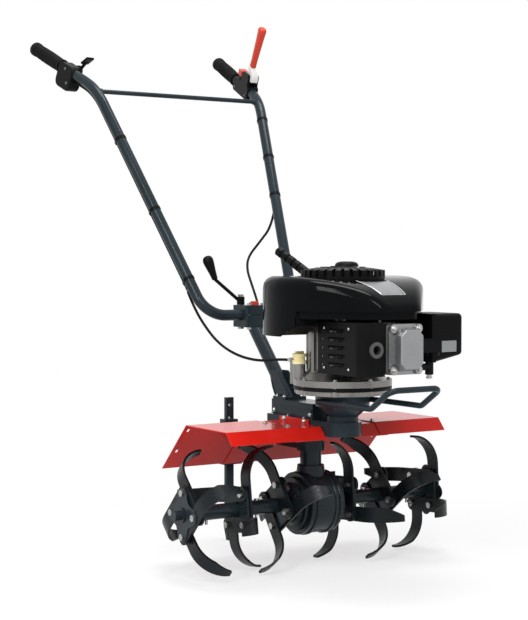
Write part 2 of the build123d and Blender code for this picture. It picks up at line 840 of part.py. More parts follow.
# Engine base: sump, crankcase, crankshaft and flywheel
sump = rod_z(sump_flange_radius, adaptor_top, adaptor_top + sump_flange_height, 0, engine_y)
sump += rod_z(sump_neck_radius, adaptor_top, crankcase_bottom, 0, engine_y)
crankcase = rod_z(crankcase_flange_radius, crankcase_bottom, crankcase_flange_top, 0, engine_y)
skirt_z = crankcase_flange_top + crankcase_skirt_height / 2
crankcase += Pos(0, engine_y, skirt_z) * Cone(crankcase_skirt_radius, crankcase_radius, crankcase_skirt_height)
crankcase += rod_z(crankcase_radius, crankcase_bottom, crankcase_top, 0, engine_y)
lug_ring = sump_flange_radius - lug_radius / 2
for k in range(lug_count):
    angle = 2 * math.pi * k / lug_count
    x = lug_ring * math.cos(angle)
    y = engine_y + lug_ring * math.sin(angle)
    sump += rod_z(lug_radius, adaptor_top, crankcase_bottom, x, y)
    rib = Rot(0, 0, math.degrees(angle)) * box(0, crankcase_radius + lug_radius / 2, -lug_radius / 2,
                                               lug_radius / 2, crankcase_flange_top, crankcase_top - lug_radius)
    crankcase += Pos(0, engine_y, 0) * rib
sump -= rod_z(crank_radius + running_gap, 0, cut_reach, 0, engine_y)
save("sump", sump)
pad_front = engine_y - crankcase_radius - lug_radius / 2
pad_bottom = cylinder_z - fin_half_height
crankcase += box(-fin_half_width, fin_half_width, pad_front, engine_y, pad_bottom, crankcase_top)
crankcase += rod_z(oil_tube_radius, crankcase_flange_top, oil_tube_top, oil_x, oil_y)
crankcase -= rod_z(oil_tube_radius - sleeve_wall, crankcase_flange_top, oil_tube_top + 1, oil_x, oil_y)
stop_x, stop_y, stop_z = throttle_cable_end
stop_left, stop_right = stop_x - throttle_stop_half, stop_x + throttle_stop_half
stop_front, stop_top = stop_y - 2 * throttle_stop_half, stop_z + throttle_stop_half
crankcase += box(stop_left, stop_right, stop_front, stop_y, crankcase_bottom, stop_top)
for k in range(4):
    post_angle = math.pi / 4 + math.pi / 2 * k
    x = post_ring * math.cos(post_angle)
    y = engine_y + post_ring * math.sin(post_angle)
    crankcase += rod_z(post_radius, crankcase_top - 3 * lug_radius, recoil_floor - cowl_wall, x, y)
crankcase -= rod_z(crankcase_radius - crankcase_wall, 0, crankcase_top - crankcase_wall, 0, engine_y)
crankcase -= rod_z(crank_radius + running_gap, 0, crankcase_top + 1, 0, engine_y)
save("crankcase", crankcase)
save("crankshaft", rod_z(crank_radius, pulley_z - clear_gap, crank_top, 0, engine_y))
flywheel = rod_z(flywheel_radius, flywheel_bottom, flywheel_top, 0, engine_y)
vane_floor = flywheel_bottom + flywheel_height / 3
vane_start = 0.55 * flywheel_radius
vane_gap = box(vane_start, flywheel_radius + 1, 0, flywheel_vane_gap, vane_floor, flywheel_top + 1)
for k in range(flywheel_vanes):
    flywheel -= Pos(0, engine_y, 0) * Rot(0, 0, 360 * k / flywheel_vanes) * vane_gap
flywheel -= rod_z(crank_radius + seat_gap, 0, cut_reach, 0, engine_y)
save("flywheel", flywheel)
oil_cap = rod_z(oil_cap_radius, oil_tube_top, oil_tube_top + oil_cap_height, oil_x, oil_y)
oil_cap -= ring_z(oil_cap_radius + 1, oil_cap_radius - oil_cap_groove, oil_tube_top + oil_cap_height * 0.35,
                  oil_tube_top + oil_cap_height * 0.7, oil_x, oil_y)
oil_plug_radius = oil_tube_radius - sleeve_wall - slide_gap
oil_cap += rod_z(oil_plug_radius, crankcase_flange_top + slide_gap, oil_tube_top, oil_x, oil_y)
save("oil_cap", oil_cap)

# Cylinder, head and valve cover, pointing forward
barrel = box(-barrel_half_width, barrel_half_width, head_back_y, pad_front,
             cylinder_z - barrel_half_height, cylinder_z + barrel_half_height)
fin_pitch = (pad_front - head_back_y) / (fin_count + 1)
for k in range(fin_count):
    y = head_back_y + fin_pitch * (k + 1)
    barrel += box(-fin_half_width, fin_half_width, y - fin_thickness / 2, y + fin_thickness / 2,
                  cylinder_z - fin_half_height, cylinder_z + fin_half_height)
save("cylinder", barrel)
head = box(-head_half_width, head_half_width, head_front_y, head_back_y,
           cylinder_z - head_half_height, cylinder_z + head_half_height)
head = fillet(head.edges().filter_by(Axis.Y), head_round)
save("cylinder_head", head)
lip = Rectangle(2 * cover_half_width, 2 * head_half_height)
valve_cover = extrude(Plane.XZ * fillet(lip.vertices(), head_round), cover_lip)
crown = Rectangle(2 * cover_crown_half_width, 2 * cover_crown_half_height)
crown = extrude(chamfer(crown.vertices(), cover_crown_corner), cover_crown_depth, taper=cover_crown_taper)
crown = fillet(crown.faces().sort_by(Axis.Z)[-1].edges(), cover_crown_round)
valve_cover += Plane.XZ * Pos(0, 0, cover_lip) * crown
for sx in (-1, 1):
    for sz in (-1, 1):
        x = sx * (cover_half_width - cover_boss)
        z = sz * (head_half_height - cover_boss)
        valve_cover += rod_y(cover_boss, -cover_lip - cover_boss_over, 0, x, z)
save("valve_cover", Pos(0, head_front_y, cylinder_z) * valve_cover)
boot_y = (head_front_y + head_back_y) / 2
boot_z = cylinder_z - boot_drop
boot_x = head_half_width + boot_reach
boot = rod_between(boot_lead_radius, (0, boot_y, boot_z), (boot_x, boot_y, boot_z)) - head
boot += rod_between(boot_radius, (boot_x, boot_y, boot_z + boot_radius), (boot_x, boot_y, boot_z - boot_hang))
save("spark_plug_boot", boot)

# Exhaust on the operator's right: muffler, slotted heat shield and outlet
muffler_mid_x = (muffler_outer_x + muffler_inner_x) / 2
muffler = box(muffler_outer_x, muffler_inner_x, muffler_front_y, muffler_back_y,
              cylinder_z - muffler_half_height, cylinder_z + muffler_half_height)
muffler = fillet(muffler.edges().filter_by(Axis.Z), muffler_round)
port_y = muffler_front_y + muffler_port_radius + clear_gap
muffler += rod_x(muffler_port_radius, muffler_mid_x, -head_half_width, port_y, cylinder_z)
shield_x = muffler_outer_x - shield_gap
shield_y = muffler_front_y - shield_gap
shield_half = muffler_half_height + shield_gap
for y in (muffler_front_y + muffler_post_inset, muffler_back_y - muffler_post_inset):
    muffler += rod_x(muffler_post_radius, shield_x, muffler_mid_x, y, cylinder_z + muffler_half_height / 2)
save("muffler", muffler)


def shield_block(x0, x1, y0, y1, half, corner):
    block = box(x0, x1, y0, y1, cylinder_z - half, cylinder_z + half)
    return fillet(block.edges().filter_by(Axis.Z).group_by(Axis.X)[0].group_by(Axis.Y)[0], corner)


outer = shield_block(shield_x - shield_sheet, shield_inner_x, shield_y - shield_sheet, shield_back_y,
                     shield_half + shield_sheet, shield_corner)
shield = outer - shield_block(shield_x, 0, shield_y, cut_reach, shield_half, shield_corner - shield_sheet)
shield -= rod_z(crankcase_radius + lug_radius + clear_gap, 0, cut_reach, 0, engine_y)
louvre_y = (shield_y + shield_corner + shield_back_y) / 2
hole_y = shield_back_y - louvre_hole_inset
for k in range(louvre_count):
    z = cylinder_z + louvre_pitch * (k - (louvre_count - 1) / 2)
    shield -= Pos(shield_x, louvre_y, z) * Box(4 * shield_sheet, louvre_length, louvre_height)
    shield -= rod_x(louvre_hole_radius, shield_x - 2 * shield_sheet, shield_x + 1, hole_y, z)
shield -= rod_y(outlet_tube_radius, -cut_reach, shield_y + shield_corner, outlet_x, cylinder_z)
save("heat_shield", shield)
shield_front = shield_y - shield_sheet
outlet = rod_y(outlet_tube_radius - seat_gap, shield_front, muffler_front_y, outlet_x, cylinder_z)
outlet += rod_y(outlet_radius, shield_front - outlet_lip, shield_front, outlet_x, cylinder_z)
outlet -= rod_y(outlet_bore, -cut_reach, 0, outlet_x, cylinder_z)
save("exhaust_outlet", outlet)

# Intake on the operator's left: carburettor, filter plate and filter cover
carb = box(head_half_width, carb_end_x, boot_y - carb_half_depth, boot_y + carb_half_depth,
           cylinder_z - carb_half_height / 2, cylinder_z + carb_half_height)
bowl_bottom = cylinder_z - carb_bowl_drop + carb_half_height
carb += rod_z(carb_bowl_radius, bowl_bottom, cylinder_z, (boot_x + carb_end_x) / 2, boot_y)
save("carburettor", carb)
plate = box(carb_end_x, carb_end_x + filter_plate, filter_front_y, filter_back_y, filter_bottom, filter_top)
cover = box(carb_end_x + filter_plate, filter_outer_x, filter_front_y, filter_back_y, filter_bottom, filter_top)
slant = Polyline(
    (carb_end_x + filter_plate, filter_bottom),
    (filter_outer_x, filter_bottom),
    (filter_outer_x, filter_bottom + filter_slant),
    close=True,
)
cover -= extrude(Plane.XZ * make_face(slant), cut_reach, both=True)
cover_edges = cover.edges().filter_by(Axis.Y, reverse=True) + cover.faces().sort_by(Axis.X)[-1].edges()
cover_edges = cover_edges.filter_by(lambda edge: edge.center().X > carb_end_x + filter_plate + 1)
cover = fillet(cover_edges, filter_round)
save("air_filter", plate, cover)


# Cowl: one moulded shell, crowned in side view, with the tank under its rear half
def cowl_face(inset):
    edges = (Pos(0, engine_y) * Circle(cowl_radius - inset)).edges()
    for s in (-1, 1):
        edges += (Pos(s * cowl_nose_half, cowl_nose_y) * Circle(cowl_nose_radius - inset)).edges()
    return make_hull(edges)


def cowl_side(inset):
    peak = cowl_peak - inset
    nose_y = cowl_nose_y - cowl_nose_radius + inset
    rear_y = engine_y + cowl_radius - inset
    rear_z = peak - 0.72 * cowl_rise
    nose_z = peak - 0.88 * cowl_rise
    crown = Spline(
        (rear_y, rear_z),
        (engine_y + 0.8 * cowl_radius, peak - 0.28 * cowl_rise),
        (engine_y, peak),
        (engine_y - 0.8 * cowl_radius, peak - 0.25 * cowl_rise),
        (nose_y + 0.65 * cowl_nose_radius, peak - 0.58 * cowl_rise),
        (nose_y, nose_z),
    )
    base_z = tank_bottom - inset
    base = Polyline((nose_y, nose_z), (nose_y, base_z), (rear_y, base_z), (rear_y, rear_z))
    return extrude(Plane.YZ * make_face([crown, *base.edges()]), cowl_radius, both=True)


def cowl_form(inset):
    body = Pos(0, 0, tank_bottom - inset) * extrude(cowl_face(inset), cowl_peak - tank_bottom)
    body &= cowl_side(inset)
    rim = body.edges().filter_by(lambda edge: edge.center().Z > cowl_bottom + 0.2 * cowl_rise)
    return fillet(rim, cowl_shoulder - inset)


def front_cut(top):
    outline = Polyline(
        (-cut_reach, 0),
        (tank_front_y + tank_chin_run, 0),
        (tank_front_y + tank_chin_run, tank_bottom),
        (tank_front_y, tank_bottom + tank_chin_rise),
        (tank_front_y, top),
        (-cut_reach, top),
        close=True,
    )
    return extrude(Plane.YZ * make_face(outline), cut_reach, both=True)


cowl = cowl_form(0) - front_cut(cowl_bottom) - cowl_form(cowl_wall)
skirt_bottom = cowl_bottom - skirt_height
skirt_band = extrude(cowl_face(skirt_inset) - cowl_face(skirt_inset + cowl_wall), skirt_height)
ledge = extrude(cowl_face(cowl_wall / 2) - cowl_face(skirt_inset + cowl_wall), cowl_wall)
skirt = Pos(0, 0, skirt_bottom) * skirt_band + Pos(0, 0, cowl_bottom) * ledge
skirt &= box(-cut_reach, cut_reach, -cut_reach, tank_front_y, 0, cut_reach)
filter_edge = filter_front_y - clear_gap
skirt -= box(carb_end_x - clear_gap, cut_reach, filter_edge, cut_reach, 0, filter_top + clear_gap)
cowl += skirt
pocket_radius = recoil_radius + slide_gap
cowl -= rod_z(pocket_radius, recoil_floor, cut_reach, 0, engine_y)
pocket_bottom = recoil_floor - cowl_wall
pocket_outer = pocket_radius + cowl_wall
pocket = ring_z(pocket_outer, flywheel_radius + cowl_wall, pocket_bottom, recoil_floor, 0, engine_y)
pocket += ring_z(pocket_outer, pocket_radius, pocket_bottom, cowl_peak, 0, engine_y)
cowl += pocket & cowl_form(cowl_wall / 2)
panel_front_y = cowl_nose_y - panel_ahead
panel_rear_y = panel_front_y + panel_length
panel = Polyline(
    (-panel_rear_half, panel_rear_y),
    (panel_rear_half, panel_rear_y),
    (panel_front_half, panel_front_y),
    (-panel_front_half, panel_front_y),
    close=True,
)
panel = fillet(make_face(panel).vertices(), panel_corner)
panel -= Pos(0, engine_y) * Circle(recoil_radius + panel_gap)
cowl -= Pos(0, 0, cowl_bottom) * extrude(panel, cowl_rise) - cowl_form(panel_depth)
cowl -= rod_z(fuel_neck_radius + slide_gap, tank_bottom + cowl_wall, cut_reach, fuel_cap_x, fuel_cap_y)
save("engine_cowl", cowl)

tank_top = recoil_floor - tank_gap
cap_seat = cowl_peak + fuel_cap_lift
tank = cowl_form(cowl_wall + slide_gap)
tank &= box(-cut_reach, cut_reach, -cut_reach, cut_reach, tank_bottom + cowl_wall, tank_top)
tank -= front_cut(cut_reach)
tank -= rod_z(crankcase_radius + 2 * lug_radius, 0, cut_reach, 0, engine_y)
tank_inner_half = 2 * shield_gap - shield_x
tank -= box(-tank_inner_half, tank_inner_half, -cut_reach, engine_y, 0, cut_reach)
tank += rod_z(fuel_neck_radius, tank_top, cap_seat, fuel_cap_x, fuel_cap_y)
tank -= rod_z(fuel_neck_radius - sleeve_wall, tank_top, cut_reach, fuel_cap_x, fuel_cap_y)
save("fuel_tank", tank)
fuel_cap_top = cap_seat + fuel_cap_height
cap_edge = fuel_cap_top - fuel_cap_crown
cap_outline = [
    Line((0, cap_seat), (fuel_cap_radius, cap_seat)),
    Line((fuel_cap_radius, cap_seat), (fuel_cap_radius, cap_edge)),
    Spline((fuel_cap_radius, cap_edge), (0, fuel_cap_top), tangents=((0, 1), (-1, 0))),
    Line((0, fuel_cap_top), (0, cap_seat)),
]
fuel_cap = Pos(fuel_cap_x, fuel_cap_y, 0) * revolve(Plane.XZ * make_face(cap_outline), Axis.Z)
plug_radius = fuel_neck_radius - sleeve_wall - slide_gap
fuel_cap += rod_z(plug_radius, cap_seat - fuel_cap_plug, cap_seat, fuel_cap_x, fuel_cap_y)
save("fuel_cap", fuel_cap)

# Recoil starter: domed slotted cover, pull grip and its rope
dome_radius = (recoil_radius ** 2 + recoil_crown ** 2) / (2 * recoil_crown)
recoil_inner = recoil_radius - recoil_wall
half_way = recoil_radius / 2


def dome_height(radius, inset=0):
    return recoil_top - dome_radius + math.sqrt((dome_radius - inset) ** 2 - radius ** 2)


dome_outline = [
    Line((0, recoil_top - recoil_wall), (0, recoil_top)),
    ThreePointArc((0, recoil_top), (half_way, dome_height(half_way)), (recoil_radius, recoil_rim)),
    Line((recoil_radius, recoil_rim), (recoil_radius, recoil_floor)),
    Line((recoil_radius, recoil_floor), (recoil_inner, recoil_floor)),
    Line((recoil_inner, recoil_floor), (recoil_inner, dome_height(recoil_inner, recoil_wall))),
    ThreePointArc(
        (recoil_inner, dome_height(recoil_inner, recoil_wall)),
        (half_way, dome_height(half_way, recoil_wall)),
        (0, recoil_top - recoil_wall),
    ),
]
recoil = Pos(0, engine_y, 0) * revolve(Plane.XZ * make_face(dome_outline), Axis.Z)
drum_top = dome_height(recoil_drum_radius, recoil_wall / 2)
drum_inner = recoil_drum_radius - recoil_wall
recoil += ring_z(recoil_drum_radius, drum_inner, recoil_floor, drum_top, 0, engine_y)
grip_foot = Vector(grip_foot_x, grip_foot_y, recoil_rim + grip_foot_lift)
grip_head = grip_foot + Vector(*grip_run)
grip_way = Vector(*grip_run).normalized()
boss_angle = math.degrees(math.atan2(grip_foot_y - engine_y, grip_foot_x))
slot_start = recoil_radius * recoil_slot_start
half_slot = recoil_slot_width / 2
slot_bottom = recoil_rim - recoil_slot_drop
slot = box(slot_start, recoil_radius + 1, -half_slot, half_slot, slot_bottom, recoil_top + 1)
for k in range(recoil_slots):
    slot_angle = 360 * (k + 0.5) / recoil_slots
    if abs(slot_angle - boss_angle) > starter_boss_spread:
        recoil -= Pos(0, engine_y, 0) * Rot(0, 0, slot_angle) * slot
recoil += rod_between(starter_boss_radius, grip_foot - grip_way * starter_boss_length, grip_foot)
rope_end = grip_foot - grip_way * starter_boss_length * 1.8
recoil -= rod_between(rope_radius + slide_gap, rope_end, grip_head)
save("recoil_cover", recoil)
starter_length = Vector(*grip_run).length
segment = starter_length / grip_ribs
grip_outline = [(0, clear_gap)]
for k in range(grip_ribs):
    low = k * segment
    grip_outline.append((starter_grip_radius * 0.7, low + clear_gap))
    grip_outline.append((starter_grip_radius, low + segment * 0.2))
    grip_outline.append((starter_grip_radius, low + segment * 0.85))
    grip_outline.append((starter_grip_radius * 0.7, low + segment))
grip_outline.append((0, starter_length))
starter = revolve(Plane.XZ * make_face(Polyline(*grip_outline, close=True)), Axis.Z)
save("starter_grip", Plane(grip_foot, z_dir=grip_way) * starter)
save("starter_rope", rod_between(rope_radius, rope_end, grip_foot + grip_way * clear_gap))

# Handlebar: one bent tube, its cross rod and grips
bar_points = [
    (-end_half, end_y, end_z),
    (-bend_half, bend_y, bend_z),
    (-bar_half, bar_y, bar_z),
    (bar_half, bar_y, bar_z),
    (bend_half, bend_y, bend_z),
    (end_half, end_y, end_z),
]
bar_path = FilletPolyline(*bar_points, radius=(top_bend, bar_bend, bar_bend, top_bend))
bar_solid = tube_along(bar_path, tube_radius)
handlebar = bar_solid - tube_along(bar_path, tube_radius - tube_wall)
crossbar = rod_x(crossbar_radius, -bend_half, bend_half, bend_y + crossbar_behind, bend_z - crossbar_drop)
crossbar -= bar_solid
save("handlebar", handlebar, crossbar.solids().sort_by(SortBy.VOLUME)[-1])


def upper_plane(side):
    bend = Vector(side * bend_half, bend_y, bend_z)
    along = (Vector(side * end_half, end_y, end_z) - bend).normalized()
    return Plane(bend, x_dir=along, z_dir=Vector(0, 0, 1) - along * along.Z)


def lower_plane(side, distance):
    bend = Vector(side * bend_half, bend_y, bend_z)
    along = (Vector(side * bar_half, bar_y, bar_z) - bend).normalized()
    return Plane(bend + along * distance, x_dir=along * along.Z - Vector(0, 0, 1), z_dir=along)


upper_way = Vector(upper_spread, upper_run, upper_rise)
upper_length = upper_way.length
bend_turn = math.radians(Vector(lower_spread, lower_run, lower_rise).get_angle(upper_way))
upper_bore = rod_x(tube_radius + seat_gap, 0, upper_length, 0, 0)
grip_start = upper_length - grip_length
throttle_end = grip_start - throttle_to_grip
throttle_start = throttle_end - throttle_length
throttle_pivot = throttle_end - throttle_pivot_in
perch_start = top_bend * math.tan(bend_turn / 2) + perch_from_bend
perch_end = perch_start + perch_length
clutch_pivot = perch_start + clutch_pivot_in
flange_radius = grip_radius + grip_flange
flange_end = grip_start + grip_flange_length
end_flange = upper_length - grip_flange_length
grip_profile = [
    Line((grip_start, 0), (grip_start, flange_radius)),
    Line((grip_start, flange_radius), (flange_end, flange_radius)),
    Line((flange_end, flange_radius), (flange_end + grip_flange, grip_radius)),
    Spline((flange_end + grip_flange, grip_radius), (upper_length - grip_length / 2, grip_radius + grip_swell),
           (end_flange - grip_flange, grip_radius)),
    Line((end_flange - grip_flange, grip_radius), (end_flange, flange_radius)),
    Line((end_flange, flange_radius), (upper_length + grip_end, flange_radius)),
    Line((upper_length + grip_end, flange_radius), (upper_length + grip_end, 0)),
    Line((upper_length + grip_end, 0), (grip_start, 0)),
]
grip = revolve(make_face(grip_profile), Axis.X) - upper_bore
save("handle_grips", upper_plane(-1) * grip, upper_plane(1) * grip)

# Stem and handlebar clamp
stem_foot = Vector(0, stem_foot_y, riser_top)
stem_head = Vector(0, bar_y - stem_top_ahead, clamp_bottom)
stem_over = (stem_head - stem_foot) * 0.3
stem = rod_between(stem_radius, stem_foot - stem_over, stem_head + stem_over)
foot_half = riser_half_width - stem_plate_inset
foot_rear = case_rear_y - stem_plate_inset
stem += box(-foot_half, foot_half, stem_foot_y - gusset_front, foot_rear, riser_top, riser_top + stem_plate)
gusset = Polyline((stem_foot_y - gusset_front, riser_top), (foot_rear, riser_top),
                  (stem_foot_y + gusset_rear, riser_top + gusset_height),
                  (stem_foot_y + gusset_rear - 2 * stem_radius, riser_top + gusset_height), close=True)
gusset = Pos(stem_radius - stem_wall / 2, 0, 0) * extrude(Plane.YZ * make_face(gusset), gusset_sheet)
stem += gusset
stem += mirror(gusset, about=Plane.YZ)
stem -= rod_between(stem_radius - stem_wall, stem_foot - stem_over, stem_head + stem_over)
stem &= box(-cut_reach, cut_reach, 0, cut_reach, riser_top, clamp_bottom)
save("handle_stem", stem)
clamp_bore = rod_x(tube_radius + running_gap, -cut_reach, cut_reach, bar_y, bar_z)
lever_y = bar_y + lever_back
clamp_holes = [
    (-clamp_bolt_x, bar_y - clamp_bolt_y, clamp_bolt_radius),
    (clamp_bolt_x, bar_y - clamp_bolt_y, clamp_bolt_radius),
    (-lever_x, lever_y, clamp_bolt_radius),
    (lever_x, lever_y, lever_pin),
]


def make_clamp(z0, z1):
    block = box(-clamp_half_width, clamp_half_width, bar_y - clamp_front, bar_y + clamp_back, z0, z1)
    block = fillet(block.edges().filter_by(Axis.Z), clamp_round)
    for x, y, radius in clamp_holes:
        block -= rod_z(radius + seat_gap, z0 - 1, z1 + 1, x, y)
    return block - clamp_bore


half_split = clamp_split / 2
save("bar_clamp", make_clamp(clamp_bottom, bar_z - half_split), make_clamp(bar_z + half_split, clamp_top))
hub_bottom = clamp_top + clear_gap
hub_top = hub_bottom + lever_hub_height
clamp_bolts = []
for x, y, radius in clamp_holes:
    top = hub_top + clear_gap if x == lever_x else clamp_top
    hexagon = RegularPolygon(radius * 1.9, 6)
    clamp_bolt = rod_z(radius, clamp_bottom - clamp_bolt_head, top, x, y)
    clamp_bolt += Pos(x, y, top) * extrude(hexagon, clamp_bolt_head)
    clamp_bolt += Pos(x, y, clamp_bottom - clamp_bolt_head) * extrude(hexagon, clamp_bolt_head)
    clamp_bolts.append(clamp_bolt - stem)
save("clamp_bolts", *clamp_bolts)
lever_root = Vector(lever_x, lever_y, hub_bottom + lever_hub_height / 3)
lever_elbow = lever_root + Vector(*lever_elbow_run)
clamp_lever = rod_z(lever_hub_radius, hub_bottom, hub_top, lever_x, lever_y)
clamp_lever += rod_between(lever_rod_radius, lever_root, lever_elbow)
clamp_lever -= rod_z(lever_pin + running_gap, 0, cut_reach, lever_x, lever_y)
save("clamp_lever", clamp_lever)
knob = cone_between(lever_elbow, lever_elbow + Vector(*lever_knob_run), knob_foot_radius, knob_head_radius)
knob = fillet(knob.edges().filter_by(GeomType.CIRCLE), knob_round)
save("clamp_lever_knob", knob - clamp_lever)

cable_offset = tube_radius + cable_radius + slide_gap

# Throttle control on the operator's right: housing and thumb lever
block_side = throttle_half_width
throttle_block = box(throttle_start, throttle_end, -block_side, block_side, -throttle_below, throttle_above)
throttle_block = fillet(throttle_block.edges().filter_by(Axis.Y), throttle_round)
side_edges = throttle_block.edges().filter_by(lambda edge: abs(edge.center().Y) > throttle_half_width - 1)
throttle_block = fillet(side_edges, throttle_edge) - upper_bore
pin_end = -throttle_half_width - throttle_pin_over
throttle_block += rod_y(throttle_pin, pin_end, -throttle_half_width, throttle_pivot, throttle_pivot_height)
save("throttle_housing", upper_plane(-1) * throttle_block)
thumb_face = -throttle_half_width - clear_gap
thumb_mid = thumb_face - thumb_hub_width + thumb_rod_radius / 2
thumb = rod_y(thumb_hub_radius, thumb_face - thumb_hub_width, thumb_face, throttle_pivot, throttle_pivot_height)
paddle_place = (throttle_pivot - thumb_back, thumb_mid - thumb_rod_radius, throttle_pivot_height + thumb_height)
thumb += rod_between(thumb_rod_radius, (throttle_pivot, thumb_mid, throttle_pivot_height), paddle_place)
paddle = Pos(*paddle_place) * Rot(0, thumb_tilt, 0) * Box(thumb_length, thumb_width, thumb_thickness)
thumb += fillet(paddle.edges(), thumb_round)
thumb -= rod_y(throttle_pin + running_gap, -cut_reach, 0, throttle_pivot, throttle_pivot_height)
save("throttle_lever", upper_plane(-1) * thumb)

# Clutch control on the operator's left: perch, lever on its white cam, lock button
button_x = perch_end - button_inset
boss_top = perch_above + button_boss
hole_floor = tube_radius + clear_gap
perch = box(perch_start, perch_end, -perch_half_width, perch_half_width, -perch_below, perch_above)
perch = fillet(perch.edges().filter_by(Axis.Y), perch_round)
cheek = box(clutch_pivot - cheek_half_length, clutch_pivot + cheek_half_length, cheek_in, perch_half_width, 0,
            clutch_pivot_height + cheek_over)
cheek = fillet(cheek.edges().filter_by(Axis.Y).group_by(Axis.Z)[-1], cheek_round)
perch += cheek
perch += mirror(cheek, about=Plane.XZ)
perch += rod_z(2 * button_pin, 0, boss_top, button_x)
perch += rod_x(2 * cable_radius, perch_start, clutch_pivot, 0, -cable_offset)
perch -= upper_bore
perch += rod_y(clutch_pin, -perch_half_width, perch_half_width, clutch_pivot, clutch_pivot_height)
perch -= rod_z(button_pin + slide_gap, hole_floor, boss_top + 1, button_x)
save("clutch_perch", upper_plane(1) * perch)
button_bottom = boss_top + button_travel + clear_gap
button = box(-button_half_length, button_half_length, -button_half_width, button_half_width, 0, button_height)
button = Pos(button_x, 0, button_bottom) * button
button = fillet(button.edges().filter_by(Axis.Z), button_pin)
button += rod_z(button_pin, hole_floor + button_travel + clear_gap, button_bottom, button_x)
save("lock_button", upper_plane(1) * button)
cam_half = cheek_in - clear_gap
cam_low = math.radians(clutch_lean - cam_before)
cam_high = math.radians(clutch_lean + cam_after)
cam_far = 3 * cam_radius
cam_wedge = Polyline(
    (0, 0),
    (cam_far * math.cos(cam_low), cam_far * math.sin(cam_low)),
    (-2 * cam_far, cam_far),
    (cam_far * math.cos(cam_high), cam_far * math.sin(cam_high)),
    close=True,
)
cam = extrude(Plane.XZ * make_face(cam_wedge), cam_half, both=True)
cam &= rod_y(cam_radius, -cam_half, cam_half, 0, 0)
cam += rod_y(clutch_pin * 3, -cam_half, cam_half, 0, 0)
cam -= rod_y(clutch_pin + running_gap, -cut_reach, cut_reach, 0, 0)
at_pivot = Pos(clutch_pivot, 0, clutch_pivot_height)
save("clutch_cam", upper_plane(1) * at_pivot * cam)
lever_ends = Pos(cam_radius + clutch_pin, 0) * Circle(clutch_root_radius)
lever_ends += Pos(clutch_reach - clutch_tip_radius, 0) * Circle(clutch_tip_radius)
clutch_lever = extrude(Plane.XZ * make_hull(lever_ends.edges()), clutch_half_width, both=True)
clutch_lever = fillet(clutch_lever.edges(), clutch_round)
clutch_lever = Rot(0, -clutch_lean, 0) * clutch_lever - cam
save("clutch_lever", upper_plane(1) * at_pivot * clutch_lever)

# Cables: each is clipped under its handle tube, then hangs free down to the machine
def clipped_path(side, start, distance):
    corner = cable_offset * math.tan(bend_turn / 2)
    upper = upper_plane(side)
    return FilletPolyline(
        upper.from_local_coords((start, 0, -cable_offset)),
        upper.from_local_coords((corner, 0, -cable_offset)),
        lower_plane(side, distance).from_local_coords((cable_offset, 0, 0)),
        radius=top_bend - cable_offset,
    )


def cable_clip(side, distance, path):
    outer = Circle(tube_radius + clip_wall) + Pos(cable_offset, 0) * Circle(cable_radius + clip_wall)
    clip = extrude(make_hull(outer.edges()), clip_length)
    clip -= Cylinder(tube_radius + seat_gap, 4 * clip_length)
    return lower_plane(side, distance - clip_length) * clip - tube_along(path, cable_radius + seat_gap)


def free_cable(name, points):
    points = [Vector(*p) for p in points]
    radii = []
    for before, here, after in zip(points, points[1:], points[2:]):
        turn = (here - before).get_angle(after - here)
        run = min((here - before).length, (after - here).length)
        radii.append(0.45 * run / math.tan(math.radians(turn / 2)))
    path = FilletPolyline(*points, radius=radii)
    print(name, "length", round(path.length), "bend radii", [round(r) for r in radii])
    return tube_along(path, cable_radius)


clutch_free = clutch_clip_places[-1] + cable_offset
throttle_free = throttle_clip_places[-1] + cable_offset
clutch_path = clipped_path(1, perch_start, clutch_free)
throttle_path = clipped_path(-1, throttle_start, throttle_free)
save("clipped_cables", tube_along(clutch_path, cable_radius), tube_along(throttle_path, cable_radius))
clips = [cable_clip(1, d, clutch_path) for d in clutch_clip_places]
clips += [cable_clip(-1, d, throttle_path) for d in throttle_clip_places]
save("cable_clips", *clips)
clutch_cable_points = [
    (178, 414, 788),
    (169, 413, 742),
    (144, 430, 702),
    (113, 434, 666),
    (86, 395, 634),
    (67, 344, 602),
    (54, 294, 554),
    (44, 262, 502),
    (36, 230, 446),
    (28, 200, 398),
    (22, 176, 358),
    (20, 144, 336),
    clutch_cable_end,
]
throttle_cable_points = [
    (-138, 291, 588),
    (-131, 278, 555),
    (-118, 252, 512),
    (-108, 205, 472),
    (-98, 140, 448),
    (-86, 68, 440),
    (-74, 8, 448),
    throttle_cable_end,
]
save("clutch_cable", free_cable("clutch cable", clutch_cable_points))
save("throttle_cable", free_cable("throttle cable", throttle_cable_points))

# The origin goes to the ground under the middle of the machine, measured without its hanging cables
hanging = ("clutch_cable", "throttle_cable")
held = [Part(solid.wrapped) for name, solids in pieces.items() if name not in hanging for solid in solids]
bounds = Compound(children=held).bounding_box()
to_origin = Pos(-bounds.center().X, -bounds.center().Y, -bounds.min.Z)
print("moved to the origin by", to_origin.position)
for name, solids in pieces.items():
    moved = [Part((to_origin * solid).wrapped) for solid in solids]
    whole = moved[0] if len(moved) == 1 else Compound(children=moved)
    export_step(whole, os.path.join("parts", name + ".step"))
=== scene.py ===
import json
import math

import bmesh
import bpy
from mathutils import Matrix, Vector
from mathutils.bvhtree import BVHTree


